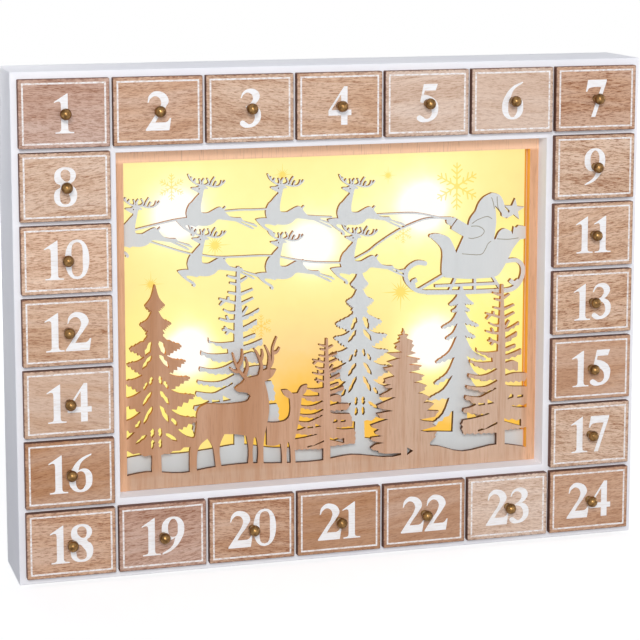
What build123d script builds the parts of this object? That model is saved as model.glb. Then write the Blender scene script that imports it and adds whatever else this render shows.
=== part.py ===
from build123d import *
from math import asin, atan2, cos, degrees, pi, sin
import os

# Case: boards glued edge to face, with a thin back let in between them
case_width = 400.0
case_height = 310.0
case_depth = 50.0
board = 6.0
back_thickness = 3.0
back_clearance = 0.2
columns = 7
rows = 7

# Drawers
front_thickness = 4.5
front_overlay = 1.75
front_corner = 0.6
front_edge = 0.5
tray_wall = 2.5
tray_floor = 2.0
tray_side_clearance = 0.6
tray_head_clearance = 2.0
tray_back_clearance = 3.0

# Ball knobs, turned from brass
ball_diameter = 7.0
neck_diameter = 2.8
crown_diameter = 2.4
collar_diameter = 4.8
collar_thickness = 1.0
knob_reach = 9.5
knob_sides = 8
ball_bands = 4

# Scene: two fretwork panels and a translucent sheet in the middle of the case
scene_recess = 13.0
panel_thickness = 3.0
panel_gap = 3.0
panel_border = 5.6
panel_head = 7.8
panel_clearance = 0.2
spacer_width = 5.0
backdrop_thickness = 0.8
batten_thickness = 5.0

# Fretwork strokes
slot_width = 1.6
branch_root = 4.0
branch_tip = 0.6
antler_root = 2.4
antler_tip = 0.7
reindeer_antler_root = 1.5
reindeer_antler_tip = 0.5
rein_width = 1.2
runner_width = 3.0
strut_width = 1.8

# Lamps on the inside of the back, joined by flat twin wire
lamp_diameter = 5.0
lamp_length = 9.0
holder_diameter = 8.0
holder_height = 3.0
lamp_sides = 8
lamp_bands = 2
wire_width = 2.6
wire_thickness = 1.3
wire_clearance = 0.1

# Battery box for two AA cells, let into the back, with a slide switch beside the cells
cell_length = 50.5
cell_diameter = 14.5
cell_clearance = 0.5
contact_room = 3.0
contact_thickness = 0.5
contact_width = 9.0
contact_height = 10.0
contact_bulge = 2.2
box_wall = 1.8
box_clearance = 0.3
box_height_centre = 124.0
flange_thickness = 1.6
flange_margin = 4.0
cover_ledge = 1.0
cover_clearance = 0.25
cover_lip = 2.0
cover_rib = 1.2
cover_rib_width = 5.0
thumb_notch_radius = 6.0
switch_room = 15.0
switch_stem_length = 5.0
switch_stem_width = 3.6
switch_stem_reach = 1.8
switch_foot_margin = 1.5
switch_foot_thickness = 1.2
switch_travel = 4.0
switch_clearance = 0.3
switch_edge = 0.6

# Worked out from the sizes above
cell_width = (case_width - (columns + 1) * board) / columns
cell_height = (case_height - (rows + 1) * board) / rows
column_pitch = cell_width + board
row_pitch = cell_height + board
scene_width = (columns - 2) * column_pitch - board
scene_height = (rows - 2) * row_pitch - board
scene_floor = board + row_pitch
inner_width = case_width - 2 * board
inner_height = case_height - 2 * board
front_y = -case_depth / 2
rear_y = case_depth / 2
back_y = rear_y - back_thickness
inner_depth = back_y - front_y
tray_depth = inner_depth - tray_back_clearance
front_panel_y = front_y + scene_recess
middle_panel_y = front_panel_y + panel_thickness + panel_gap
backdrop_y = middle_panel_y + panel_thickness
light_y = backdrop_y + backdrop_thickness
panel_width = scene_width - 2 * panel_clearance
panel_height = scene_height - 2 * panel_clearance
whole_scene_shares = (0.0, 0.0, 1.0, 1.0)
front_low = (Align.CENTER, Align.MIN, Align.MIN)
front_middle = (Align.CENTER, Align.MIN, Align.CENTER)


def column_x(column):
    """Centre of a column of holes, counted from the left."""
    return -case_width / 2 + board + cell_width / 2 + column * column_pitch


def row_z(row):
    """Centre of a row of holes, counted from the bottom."""
    return board + cell_height / 2 + row * row_pitch


# Places of the drawers by number: the top row, both sides downwards in turn, then the bottom row
drawer_cells = [(column, rows - 1) for column in range(columns)]
for row in range(rows - 2, 0, -1):
    drawer_cells += [(0, row), (columns - 1, row)]
drawer_cells += [(column, 0) for column in range(columns)]


# Drawing in the scene

def place(box_shares, share):
    """A point given as shares of a box, which is itself given as shares of the scene."""
    left, low, wide, high = box_shares
    across, up = share
    return Vector((left + wide * across - 0.5) * scene_width, (low + high * up) * scene_height)


def joined(points, smooth=True):
    """Arcs through an odd number of points, three to an arc, or straight lines through an even number."""
    if not smooth or len(points) % 2 == 0:
        return [Polyline(*points)]
    return [ThreePointArc(*points[index:index + 3]) for index in range(0, len(points) - 2, 2)]


def outline(box_shares, runs_shares):
    """A closed face made of runs that meet at corners; each run starts where the last one ended."""
    edges = []
    start = last = place(box_shares, runs_shares[0][0])
    for index, run in enumerate(runs_shares):
        points = [place(box_shares, share) for share in run]
        if index > 0:
            points.insert(0, last)
        if len(points) > 1:
            edges += joined(points)
        last = points[-1]
    if last != start:
        edges.append(Line(last, start))
    return make_face(edges)


def blade(points, root, tip, smooth):
    """A strip along a line of points that tapers from its root to its tip."""
    left, right = [], []
    end = len(points) - 1
    for index, point in enumerate(points):
        ahead = points[min(index + 1, end)] - points[max(index - 1, 0)]
        width = root + (tip - root) * index / end
        side = Vector(-ahead.Y, ahead.X).normalized() * (width / 2)
        left.append(point + side)
        right.insert(0, point - side)
    sides = joined(left, smooth) + joined(right, smooth)
    return make_face([*sides, Line(left[-1], right[0]), Line(right[-1], left[0])])


def stroke(box_shares, line_shares, root, tip, smooth=True):
    """A tapering strip drawn in a box of the scene."""
    return blade([place(box_shares, share) for share in line_shares], root, tip, smooth)


def leaf(start, end, width):
    """A pointed slot between two points."""
    middle = (start + end) * 0.5
    along = end - start
    side = Vector(-along.Y, along.X).normalized() * (width / 2)
    return make_face([ThreePointArc(start, middle + side, end), ThreePointArc(end, middle - side, start)])


def both_sides(shares):
    """The same points and their mirror image about the middle of the box."""
    return shares, [(1 - across, up) for across, up in shares]


# Shares of a drooping fir: trunk, bottom of the crown, and how far each notch and bend reaches along its tier
fir_trunk_share = 0.07
fir_crown_share = 0.08
fir_notch_share = 0.45
fir_notch_drop_share = 0.38
fir_bend_shares = ((0.56, 0.42), (0.78, 0.10))
fir_swell_share = 0.8
fir_tooth_shares = ((0.78, -0.24), (0.72, -0.14), (0.46, -0.42), (0.40, -0.28), (0.20, -0.36))


def fir(box_shares, tiers):
    """A fir whose drooping tiers flare at the tips and are ragged below."""
    step = (1 - fir_crown_share) / tiers
    halves = []
    for side in (0.5, -0.5):
        edges = []
        last = place(box_shares, (0.5, 1))
        for tier in range(tiers):
            reach = ((tier + 1) / tiers) ** fir_swell_share
            tip_up = 1 - step * (tier + 1)
            notch_up = tip_up - fir_notch_drop_share * step
            shares = [(across, tip_up + lift * step) for across, lift in fir_bend_shares]
            shares.append((1, tip_up))
            for along, lift in fir_tooth_shares:
                shares.append((fir_notch_share + (1 - fir_notch_share) * along, tip_up + lift * step))
            shares.append((fir_notch_share, notch_up))
            points = [place(box_shares, (0.5 + side * reach * across, up)) for across, up in shares]
            edges.append(Polyline(last, *points))
            last = points[-1]
        trunk = 0.5 + side * fir_trunk_share
        foot = [(trunk, notch_up), (trunk, 0), (0.5, 0), (0.5, 1)]
        edges.append(Polyline(last, *[place(box_shares, share) for share in foot]))
        halves.append(make_face(edges))
    return Sketch() + halves


# Shares of the slots of a fir, along each tier from the third: start and end across, and their lift
fir_slot_shares = ((0.16, 0.75), (0.44, 0.10))


def fir_slots(box_shares, tiers):
    """Leaf-shaped slots on both sides of a fir's trunk."""
    step = (1 - fir_crown_share) / tiers
    slots = []
    for tier in range(2, tiers):
        reach = ((tier + 1) / tiers) ** fir_swell_share
        tip_up = 1 - step * (tier + 1)
        line = [(0.5 + 0.5 * reach * across, tip_up + lift * step) for across, lift in fir_slot_shares]
        for shares in both_sides(line):
            start, end = [place(box_shares, share) for share in shares]
            slots.append(leaf(start, end, slot_width))
    return slots


# Shares of a thin conifer: trunk at its foot and top, first and last branch, and each branch's bend and flick
conifer_foot_share = 0.11
conifer_top_share = 0.02
conifer_span_shares = (0.10, 0.90)
conifer_swell_share = 0.85
conifer_bend_share = 0.62
conifer_droop_share = 0.040
conifer_flick_share = 0.022
conifer_thin_share = 0.3


def conifer(box_shares, branches):
    """A thin trunk with drooping branches that turn up at their tips, the two sides out of step."""
    faces = []
    half_foot, half_top = conifer_foot_share / 2, conifer_top_share / 2
    trunk = [(0.5 - half_foot, 0), (0.5 + half_foot, 0), (0.5 + half_top, 1), (0.5 - half_top, 1)]
    faces.append(outline(box_shares, [[share] for share in trunk]))
    low, high = conifer_span_shares
    for branch in range(2 * branches):
        up = low + (high - low) * branch / (2 * branches - 1)
        side = 0.5 if branch % 2 else -0.5
        grown = ((1 - up) / (1 - low)) ** conifer_swell_share
        bend = (0.5 + side * grown * conifer_bend_share, up - conifer_droop_share * grown)
        line = [(0.5, up), bend, (0.5 + side * grown, up - conifer_flick_share * grown)]
        root = branch_root * (conifer_thin_share + (1 - conifer_thin_share) * grown)
        faces.append(stroke(box_shares, line, root, branch_tip, smooth=False))
    return faces


# Shares of a toothed spruce: trunk, bottom of the crown, and the notch between two teeth
spruce_trunk_share = 0.10
spruce_crown_share = 0.06
spruce_swell_share = 0.85


def spruce(box_shares, teeth, notch_share):
    """A dense spruce with a row of pointed teeth down each side."""
    step = (1 - spruce_crown_share) / teeth
    faces = []
    for side in (0.5, -0.5):
        shares = [(0.5, 1)]
        for tooth in range(teeth):
            reach = side * ((tooth + 1) / teeth) ** spruce_swell_share
            up = 1 - step * (tooth + 1)
            shares += [(0.5 + reach, up), (0.5 + reach * notch_share, up)]
        trunk = 0.5 + side * spruce_trunk_share
        shares += [(trunk, up), (trunk, 0), (0.5, 0)]
        faces.append(outline(box_shares, [[share] for share in shares]))
    return faces


# Front panel: forest floor, trees, and a stag that looks back with a doe beside it
ground_shares = (
    ((0.0, 0.040), (0.07, 0.053), (0.15, 0.042), (0.22, 0.052), (0.30, 0.056), (0.38, 0.049), (0.47, 0.047),
     (0.55, 0.058), (0.65, 0.042), (0.74, 0.068), (0.82, 0.042), (0.91, 0.056), (1.0, 0.034)),
    ((1.0, 0.0),), ((0.0, 0.0),))
front_fir_shares = (-0.012, 0.04, 0.206, 0.56)
front_fir_tiers = 8
thin_conifer_shares = (0.424, 0.03, 0.126, 0.385)
far_conifer_shares = (0.82, 0.03, 0.176, 0.515)
conifer_branches = 10
spruce_shares = (0.586, 0.03, 0.168, 0.40)
spruce_teeth = 13
spruce_notch_share = 0.72

herd_shares = (0.167, 0.043, 0.290, 0.379)
stag_shares = (
    ((0.060, 0.44), (0.080, 0.495), (0.140, 0.525)),
    ((0.275, 0.508), (0.410, 0.515)),
    ((0.455, 0.53), (0.480, 0.56)),
    ((0.435, 0.577), (0.390, 0.60), (0.375, 0.615), (0.385, 0.635), (0.425, 0.66)),
    ((0.455, 0.705),), ((0.550, 0.72),),
    ((0.625, 0.768), (0.700, 0.755)),
    ((0.655, 0.695), (0.600, 0.67)),
    ((0.645, 0.46), (0.605, 0.25)),
    ((0.585, 0.14), (0.585, -0.01), (0.540, -0.01)),
    ((0.550, 0.125), (0.535, 0.225), (0.515, 0.225)),
    ((0.510, 0.11), (0.510, -0.01), (0.470, -0.01)),
    ((0.480, 0.125),),
    ((0.455, 0.25),),
    ((0.365, 0.275), (0.280, 0.275)),
    ((0.243, 0.19), (0.245, 0.10)),
    ((0.260, -0.01), (0.220, -0.01), (0.205, 0.10)),
    ((0.190, 0.18), (0.145, 0.25)),
    ((0.080, 0.20), (0.055, 0.12)),
    ((0.055, -0.01), (0.005, -0.01), (0.005, 0.10)),
    ((0.008, 0.185), (0.045, 0.275)),
    ((0.057, 0.355), (0.060, 0.44)))
antler_shares = (
    ((0.475, 0.69), (0.420, 0.75), (0.378, 0.82), (0.350, 0.90)),
    ((0.410, 0.77), (0.365, 0.765), (0.330, 0.785)),
    ((0.440, 0.74), (0.455, 0.83), (0.430, 0.93)),
    ((0.540, 0.69), (0.605, 0.75), (0.662, 0.83), (0.705, 0.98)),
    ((0.590, 0.745), (0.575, 0.84), (0.530, 0.92)),
    ((0.650, 0.81), (0.640, 0.90), (0.605, 0.96)),
    ((0.680, 0.885), (0.715, 0.895), (0.735, 0.92)))
doe_shares = (
    ((0.620, 0.345), (0.700, 0.338), (0.775, 0.35)),
    ((0.808, 0.42), (0.805, 0.52)),
    ((0.770, 0.545), (0.750, 0.585)),
    ((0.795, 0.585), (0.835, 0.555)),
    ((0.875, 0.555),),
    ((0.895, 0.592), (0.940, 0.605)),
    ((0.935, 0.565), (0.905, 0.535)),
    ((0.883, 0.36), (0.845, 0.195)),
    ((0.845, 0.10), (0.850, -0.01), (0.815, -0.01)),
    ((0.810, 0.10), (0.800, 0.17), (0.790, 0.17)),
    ((0.780, 0.08), (0.780, -0.01), (0.745, -0.01)),
    ((0.740, 0.09),),
    ((0.735, 0.165),),
    ((0.680, 0.152), (0.620, 0.16)))

# Middle panel: snow, trees, a reindeer team in two rows, and a sleigh with its driver
snow_shares = (
    ((0.0, 0.085), (0.07, 0.098), (0.15, 0.094), (0.22, 0.100), (0.29, 0.108), (0.37, 0.090), (0.46, 0.086),
     (0.55, 0.104), (0.65, 0.088), (0.73, 0.104), (0.82, 0.097), (0.91, 0.101), (1.0, 0.085)),
    ((1.0, 0.0),), ((0.0, 0.0),))
middle_conifer_shares = (0.197, 0.08, 0.170, 0.545)
middle_fir_shares = (0.480, 0.08, 0.170, 0.615)
middle_fir_tiers = 9
middle_spruce_shares = (0.730, 0.08, 0.165, 0.46)
middle_spruce_teeth = 9
middle_spruce_notch_share = 0.45

reindeer_size_shares = (0.174, 0.227)
reindeer_place_shares = (
    (0.135, 0.733), (0.324, 0.726), (0.493, 0.717),
    (-0.017, 0.673), (0.138, 0.574), (0.317, 0.557), (0.491, 0.564))
reindeer_shares = (
    ((0.000, 0.215),), ((0.020, 0.245),), ((0.135, 0.25),),
    ((0.170, 0.425), (0.335, 0.54)),
    ((0.270, 0.575), (0.245, 0.615), (0.310, 0.64)),
    ((0.370, 0.665),), ((0.425, 0.61),),
    ((0.362, 0.45), (0.385, 0.31)),
    ((0.490, 0.302), (0.610, 0.33)),
    ((0.670, 0.355),), ((0.655, 0.30),),
    ((0.705, 0.235), (0.790, 0.190), (0.910, 0.135)),
    ((1.000, 0.01),), ((0.970, -0.005),), ((0.890, 0.095),),
    ((0.800, 0.13), (0.690, 0.14), (0.570, 0.17)),
    ((0.400, 0.118), (0.210, 0.165)),
    ((0.080, 0.19), (0.200, 0.03), (0.165, 0.015)))
reindeer_antler_shares = (
    ((0.370, 0.65), (0.310, 0.69), (0.240, 0.78)),
    ((0.320, 0.68), (0.340, 0.76)),
    ((0.280, 0.72), (0.295, 0.80)),
    ((0.370, 0.64), (0.520, 0.66), (0.680, 0.71)),
    ((0.440, 0.65), (0.430, 0.76)),
    ((0.520, 0.66), (0.525, 0.77)),
    ((0.600, 0.68), (0.620, 0.77)))
rein_shares = (
    ((0.245, 0.800), (0.300, 0.806), (0.365, 0.802)),
    ((0.430, 0.790), (0.490, 0.786), (0.530, 0.790)),
    ((0.600, 0.785), (0.700, 0.772), (0.785, 0.728)),
    ((0.040, 0.745), (0.090, 0.760), (0.160, 0.790)),
    ((0.245, 0.640), (0.300, 0.645), (0.350, 0.640)),
    ((0.430, 0.625), (0.480, 0.626), (0.530, 0.635)),
    ((0.555, 0.640), (0.670, 0.690), (0.785, 0.722)),
    ((0.650, 0.575), (0.670, 0.572), (0.695, 0.588)))

sleigh_shares = (0.679, 0.5135, 0.298, 0.388)
sleigh_body_shares = (
    ((0.215, 0.455), (0.245, 0.492), (0.285, 0.488)),
    ((0.350, 0.435), (0.385, 0.33)),
    ((0.420, 0.325),),
    ((0.465, 0.42), (0.350, 0.50)),
    ((0.308, 0.545), (0.340, 0.58)),
    ((0.390, 0.57),), ((0.475, 0.53),),
    ((0.505, 0.605), (0.565, 0.655)),
    ((0.595, 0.738), (0.655, 0.795)),
    ((0.770, 0.755), (0.815, 0.62)),
    ((0.845, 0.585), (0.795, 0.575)),
    ((0.772, 0.63), (0.735, 0.67)),
    ((0.745, 0.54), (0.738, 0.42)),
    ((0.752, 0.42),),
    ((0.812, 0.50), (0.880, 0.435)),
    ((0.900, 0.475), (0.955, 0.470), (0.950, 0.407)),
    ((0.835, 0.285), (0.730, 0.135)),
    ((0.340, 0.134),),
    ((0.298, 0.215), (0.305, 0.30)),
    ((0.282, 0.40), (0.215, 0.455)))
runner_shares = (
    ((0.180, 0.27), (0.100, 0.28), (0.030, 0.22), (0.025, 0.13), (0.090, 0.06), (0.160, 0.040),
     (0.260, 0.035)),
    ((0.250, 0.035), (0.790, 0.035)),
    ((0.780, 0.035), (0.870, 0.042), (0.940, 0.07), (0.978, 0.14), (0.945, 0.22), (0.890, 0.244),
     (0.830, 0.25)))
strut_shares = (
    ((0.090, 0.06), (0.340, 0.16)), ((0.300, 0.09), (0.830, 0.09)), ((0.400, 0.03), (0.450, 0.15)),
    ((0.610, 0.03), (0.610, 0.15)), ((0.830, 0.03), (0.700, 0.15)))
star_points = 5
star_shares = (0.885, 0.66, 0.055, 0.024)
star_stick_shares = ((0.885, 0.66), (0.865, 0.43))


def reindeer(place_shares):
    """One leaping reindeer."""
    box_shares = (*place_shares, *reindeer_size_shares)
    faces = [outline(box_shares, reindeer_shares)]
    for line in reindeer_antler_shares:
        faces.append(stroke(box_shares, line, reindeer_antler_root, reindeer_antler_tip, smooth=False))
    return faces


def star(box_shares):
    """A pointed star on its stick."""
    across, up, outer, inner = star_shares
    points = []
    for corner in range(2 * star_points):
        reach = outer if corner % 2 == 0 else inner
        angle = pi * corner / star_points
        points.append([(across + reach * sin(angle), up + reach * cos(angle))])
    return [outline(box_shares, points), stroke(box_shares, star_stick_shares, strut_width, strut_width)]


def fretwork(faces, slots, panel_y):
    """Cuts one panel: a border and the figures inside it, with slots."""
    middle = Pos(0, scene_height / 2)
    whole = middle * Rectangle(panel_width, panel_height)
    window_height = panel_height - panel_border - panel_head
    window_lift = Pos(0, (panel_border - panel_head) / 2)
    window = window_lift * middle * Rectangle(panel_width - 2 * panel_border, window_height)
    figures = (Sketch() + faces) & whole
    sketch = (whole - window) + figures
    if slots:
        sketch = sketch - (Sketch() + slots)
    return Pos(0, panel_y + panel_thickness, scene_floor) * Rot(90, 0, 0) * extrude(sketch, panel_thickness)


def scene_front_panel():
    faces = [outline(whole_scene_shares, ground_shares)]
    faces += fir(front_fir_shares, front_fir_tiers).faces()
    faces += conifer(thin_conifer_shares, conifer_branches)
    faces += conifer(far_conifer_shares, conifer_branches)
    faces += spruce(spruce_shares, spruce_teeth, spruce_notch_share)
    faces += [outline(herd_shares, stag_shares), outline(herd_shares, doe_shares)]
    faces += [stroke(herd_shares, line, antler_root, antler_tip, smooth=False) for line in antler_shares]
    return fretwork(faces, fir_slots(front_fir_shares, front_fir_tiers), front_panel_y)


def scene_middle_panel():
    faces = [outline(whole_scene_shares, snow_shares)]
    faces += conifer(middle_conifer_shares, conifer_branches)
    faces += fir(middle_fir_shares, middle_fir_tiers).faces()
    faces += spruce(middle_spruce_shares, middle_spruce_teeth, middle_spruce_notch_share)
    for place_shares in reindeer_place_shares:
        faces += reindeer(place_shares)
    faces += [stroke(whole_scene_shares, line, rein_width, rein_width) for line in rein_shares]
    faces.append(outline(sleigh_shares, sleigh_body_shares))
    faces += [stroke(sleigh_shares, line, runner_width, runner_width) for line in runner_shares]
    faces += [stroke(sleigh_shares, line, strut_width, strut_width) for line in strut_shares]
    faces += star(sleigh_shares)
    return fretwork(faces, fir_slots(middle_fir_shares, middle_fir_tiers), middle_panel_y)


def rim(width, height, wall, y, depth):
    """Four strips laid round a rectangle that stands on the scene's floor."""
    strips = []
    for z in (0, height - wall):
        strips.append(Pos(0, y, scene_floor + z) * Box(width, depth, wall, align=front_low))
    upright = Box(wall, depth, height - 2 * wall, align=front_low)
    for side in (-1, 1):
        strips.append(Pos(side * (width - wall) / 2, y, scene_floor + wall) * upright)
    return strips


def scene_spacers():
    """Strips between the two panels, and battens from the backdrop to the back."""
    between = rim(scene_width, scene_height, spacer_width, front_panel_y + panel_thickness, panel_gap)
    behind = rim(scene_width, scene_height, batten_thickness, light_y, back_y - light_y)
    return between + behind


def scene_backdrop():
    return [Pos(0, backdrop_y, scene_floor + panel_clearance)
            * Box(panel_width, backdrop_thickness, panel_height, align=front_low)]


# Case boards

def outer_case():
    boards = []
    for z in (0, case_height - board):
        boards.append(Pos(0, front_y, z) * Box(case_width, case_depth, board, align=front_low))
    for x in (-1, 1):
        place_x = x * (case_width - board) / 2
        boards.append(Pos(place_x, front_y, board) * Box(board, case_depth, inner_height, align=front_low))
    return boards


def inner_boards():
    """Long shelves, the uprights of the scene, and the short dividers of the drawer ring."""
    boards = []
    shelf = Box(inner_width, inner_depth, board, align=front_low)
    upright = Box(board, inner_depth, scene_height, align=front_low)
    divider = Box(board, inner_depth, cell_height, align=front_low)
    short_shelf = Box(cell_width, inner_depth, board, align=front_low)
    for row in (0, rows - 2):
        boards.append(Pos(0, front_y, row_z(row) + cell_height / 2) * shelf)
    for column in range(columns - 1):
        divider_x = column_x(column) + column_pitch / 2
        for row in (0, rows - 1):
            boards.append(Pos(divider_x, front_y, row_z(row) - cell_height / 2) * divider)
        if column in (0, columns - 2):
            boards.append(Pos(divider_x, front_y, scene_floor) * upright)
    for row in range(1, rows - 2):
        for column in (0, columns - 1):
            boards.append(Pos(column_x(column), front_y, row_z(row) + cell_height / 2) * short_shelf)
    return boards


# Drawers and knobs

def drawer(column, row):
    """A front board that overlaps its hole, and behind it a glued tray that stands on the board below."""
    width = cell_width - 2 * tray_side_clearance
    height = cell_height - tray_head_clearance
    low_z = -cell_height / 2
    face = Rectangle(cell_width + 2 * front_overlay, cell_height + 2 * front_overlay)
    face = chamfer(face.vertices(), front_corner)
    front = Rot(90, 0, 0) * extrude(face, front_thickness)
    front = chamfer(front.faces().sort_by(Axis.Y)[0].edges(), front_edge)
    boards = [front]
    for side in (-1, 1):
        place_x = side * (width - tray_wall) / 2
        boards.append(Pos(place_x, 0, low_z) * Box(tray_wall, tray_depth, height, align=front_low))
    inside = width - 2 * tray_wall
    back_place = Pos(0, tray_depth - tray_wall, low_z)
    boards.append(back_place * Box(inside, tray_wall, height, align=front_low))
    boards.append(Pos(0, 0, low_z) * Box(inside, tray_depth - tray_wall, tray_floor, align=front_low))
    return [Pos(column_x(column), front_y, row_z(row)) * piece for piece in boards]


def knob_profile():
    """Radius and distance from the front, from the collar to the crown of the ball."""
    ball = ball_diameter / 2
    centre = knob_reach - ball
    meets = asin(neck_diameter / ball_diameter)
    crown = asin(crown_diameter / ball_diameter)
    profile = [(collar_diameter / 2, 0), (neck_diameter / 2, collar_thickness)]
    for band in range(ball_bands + 1):
        angle = meets + (pi - crown - meets) * band / ball_bands
        profile.append((ball * sin(angle), centre - ball * cos(angle)))
    return profile


def turned(profile, sides):
    """A turned piece with flat sides, from its rings of radius and distance, pointing forward."""
    rings = []
    for radius, distance in profile:
        angles = [2 * pi * side / sides for side in range(sides)]
        rings.append([Vector(radius * cos(a), -distance, radius * sin(a)) for a in angles])
    faces = [Face(Wire.make_polygon(rings[0])), Face(Wire.make_polygon(rings[-1]))]
    for near, far in zip(rings, rings[1:]):
        for side in range(sides):
            beside = (side + 1) % sides
            faces.append(Face(Wire.make_polygon([near[side], near[beside], far[beside], far[side]])))
    return Solid(Shell(faces))


def knob(column, row):
    return [Pos(column_x(column), front_y - front_thickness, row_z(row)) * turned(knob_profile(), knob_sides)]


# Lamps, wires, battery box and back

lamp_place_shares = ((0.178, 0.396), (0.150, 0.800), (0.462, 0.689), (0.733, 0.795), (0.747, 0.363))
lamp_points = [place(whole_scene_shares, share) for share in lamp_place_shares]
bay_length = cell_length + 2 * contact_room
bay_height = 2 * cell_diameter + 3 * cell_clearance
bay_depth = cell_diameter + cell_clearance
box_length = bay_length + switch_room + 3 * box_wall
box_height = bay_height + 2 * box_wall
box_depth = bay_depth + box_wall
bay_x = (box_length - bay_length) / 2 - box_wall
switch_x = (switch_room - box_length) / 2 + box_wall
box_place = Pos(0, rear_y, box_height_centre)


def lamp():
    """A domed lamp in its round holder, pointing forward."""
    lamp_radius, holder_radius = lamp_diameter / 2, holder_diameter / 2
    shoulder = lamp_length - lamp_radius
    profile = [(holder_radius, 0), (holder_radius, holder_height), (lamp_radius, holder_height)]
    for band in range(lamp_bands):
        angle = pi / 2 * band / lamp_bands
        profile.append((lamp_radius * cos(angle), shoulder + lamp_radius * sin(angle)))
    return turned(profile, lamp_sides)


def led_lamps():
    return [Pos(point.X, back_y, scene_floor + point.Y) * lamp() for point in lamp_points]


def led_wires():
    """Straight runs of flat wire on the back, from the battery box past each lamp and back to the box."""
    stops = [Vector(-box_length / 2, box_height_centre)]
    stops += [Vector(point.X, scene_floor + point.Y) for point in lamp_points]
    stops.append(Vector(box_length / 2, box_height_centre))
    holder_room = holder_diameter / 2 + wire_clearance
    box_room = wire_width / 2 + wire_clearance
    rooms = [box_room] + [holder_room] * len(lamp_points) + [box_room]
    runs = []
    for index in range(len(stops) - 1):
        along = stops[index + 1] - stops[index]
        start = stops[index] + along.normalized() * rooms[index]
        end = stops[index + 1] - along.normalized() * rooms[index + 1]
        middle = (start + end) * 0.5
        run = Box((end - start).length, wire_thickness, wire_width, align=front_middle)
        turn = Rot(0, -degrees(atan2(along.Y, along.X)), 0)
        runs.append(Pos(middle.X, back_y - wire_thickness, middle.Y) * turn * run)
    return runs


def contact(bulge):
    """A bent leaf that stands on a wall and springs away from it."""
    half = contact_height / 2
    bent = contact_height / 2 - contact_thickness
    hollow = bulge - contact_thickness
    leaf_edge = Polyline((0, -half), (bulge, 0), (0, half), (0, bent), (hollow, 0), (0, -bent), close=True)
    return Rot(90, 0, 0) * extrude(make_face(leaf_edge), contact_width / 2, both=True)


def battery_box():
    """A tub with a flange on the back, a ledge for the cover, a room for the switch, and sprung contacts."""
    tub = Pos(0, -box_depth, 0) * Box(box_length, box_depth, box_height, align=front_middle)
    flange_length, flange_height = box_length + 2 * flange_margin, box_height + 2 * flange_margin
    tub += Box(flange_length, flange_thickness, flange_height, align=front_middle)
    tub -= Pos(bay_x, -bay_depth, 0) * Box(bay_length, box_depth, bay_height, align=front_middle)
    seat_length, seat_height = bay_length + 2 * cover_ledge, bay_height + 2 * cover_ledge
    tub -= Pos(bay_x, 0, 0) * Box(seat_length, box_depth, seat_height, align=front_middle)
    tub -= Pos(switch_x, -box_depth, 0) * Box(switch_room, box_depth, bay_height, align=front_middle)
    slot_length = switch_stem_length + switch_travel + 2 * switch_clearance
    slot_height = switch_stem_width + 2 * switch_clearance
    tub -= Pos(switch_x, 0, 0) * Box(slot_length, box_depth, slot_height, align=front_middle)
    pieces = [tub]
    cell_z = (cell_diameter + cell_clearance) / 2
    for turn, end_x in ((0, bay_x - bay_length / 2), (180, bay_x + bay_length / 2)):
        for z in (-cell_z, cell_z):
            pieces.append(Pos(end_x, -bay_depth / 2, z) * Rot(0, 0, turn) * contact(contact_bulge))
    return [box_place * piece for piece in pieces]


def battery_cover():
    """A plate flush with the flange, with four ribs that drop into the bay and a notch for a thumb."""
    length = bay_length + 2 * (cover_ledge - cover_clearance)
    height = bay_height + 2 * (cover_ledge - cover_clearance)
    cover = Box(length, flange_thickness, height, align=front_middle)
    cover -= Pos(length / 2, 0, 0) * Rot(90, 0, 0) * Cylinder(thumb_notch_radius, 2 * cell_diameter)
    rib = Box(cover_rib, cover_lip, cover_rib_width, align=front_middle)
    rib_x = bay_length / 2 - cover_clearance - cover_rib / 2
    rib_z = bay_height / 2 - cover_clearance - cover_rib_width / 2
    for end in (-1, 1):
        for side in (-1, 1):
            cover += Pos(end * rib_x, -cover_lip, side * rib_z) * rib
    return [box_place * Pos(bay_x, 0, 0) * cover]


def switch_slider():
    """A button in its slot, held behind the flange by a wider foot."""
    foot_length = switch_stem_length + 2 * switch_foot_margin
    foot_height = switch_stem_width + 2 * switch_foot_margin
    foot = Box(foot_length, switch_foot_thickness, foot_height, align=front_middle)
    stem_reach = switch_clearance + flange_thickness + switch_stem_reach
    stem = Box(switch_stem_length, stem_reach, switch_stem_width, align=front_middle)
    stem = chamfer(stem.faces().sort_by(Axis.Y)[-1].edges(), switch_edge)
    slider = Pos(0, -switch_foot_thickness, 0) * foot + stem
    return [box_place * Pos(switch_x - switch_travel / 2, -switch_clearance, 0) * slider]


def back_panel():
    hole = box_place * Box(box_length + 2 * box_clearance, 2 * case_depth, box_height + 2 * box_clearance)
    panel = Pos(0, back_y, board + back_clearance) * Box(
        inner_width - 2 * back_clearance, back_thickness, inner_height - 2 * back_clearance, align=front_low)
    return [panel - hole]


nodes = {
    "outer_case": outer_case(),
    "inner_boards": inner_boards(),
    "scene_front_panel": [scene_front_panel()],
    "scene_middle_panel": [scene_middle_panel()],
    "scene_spacers": scene_spacers(),
    "scene_backdrop": scene_backdrop(),
    "led_lamps": led_lamps(),
    "led_wires": led_wires(),
    "battery_box": battery_box(),
    "battery_cover": battery_cover(),
    "switch_slider": switch_slider(),
    "back_panel": back_panel(),
}
for number, (column, row) in enumerate(drawer_cells, start=1):
    nodes[f"drawer_{number:02d}"] = drawer(column, row)
    nodes[f"knob_{number:02d}"] = knob(column, row)

os.makedirs("parts", exist_ok=True)
for name, pieces in nodes.items():
    solids = [solid for piece in pieces for solid in piece.solids()]
    export_step(solids[0] if len(solids) == 1 else Compound(solids), f"parts/{name}.step")
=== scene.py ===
from math import cos, pi, radians, sin
from random import Random

import bmesh
import bpy
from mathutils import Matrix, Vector
from mathutils.geometry import delaunay_2d_cdt


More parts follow.
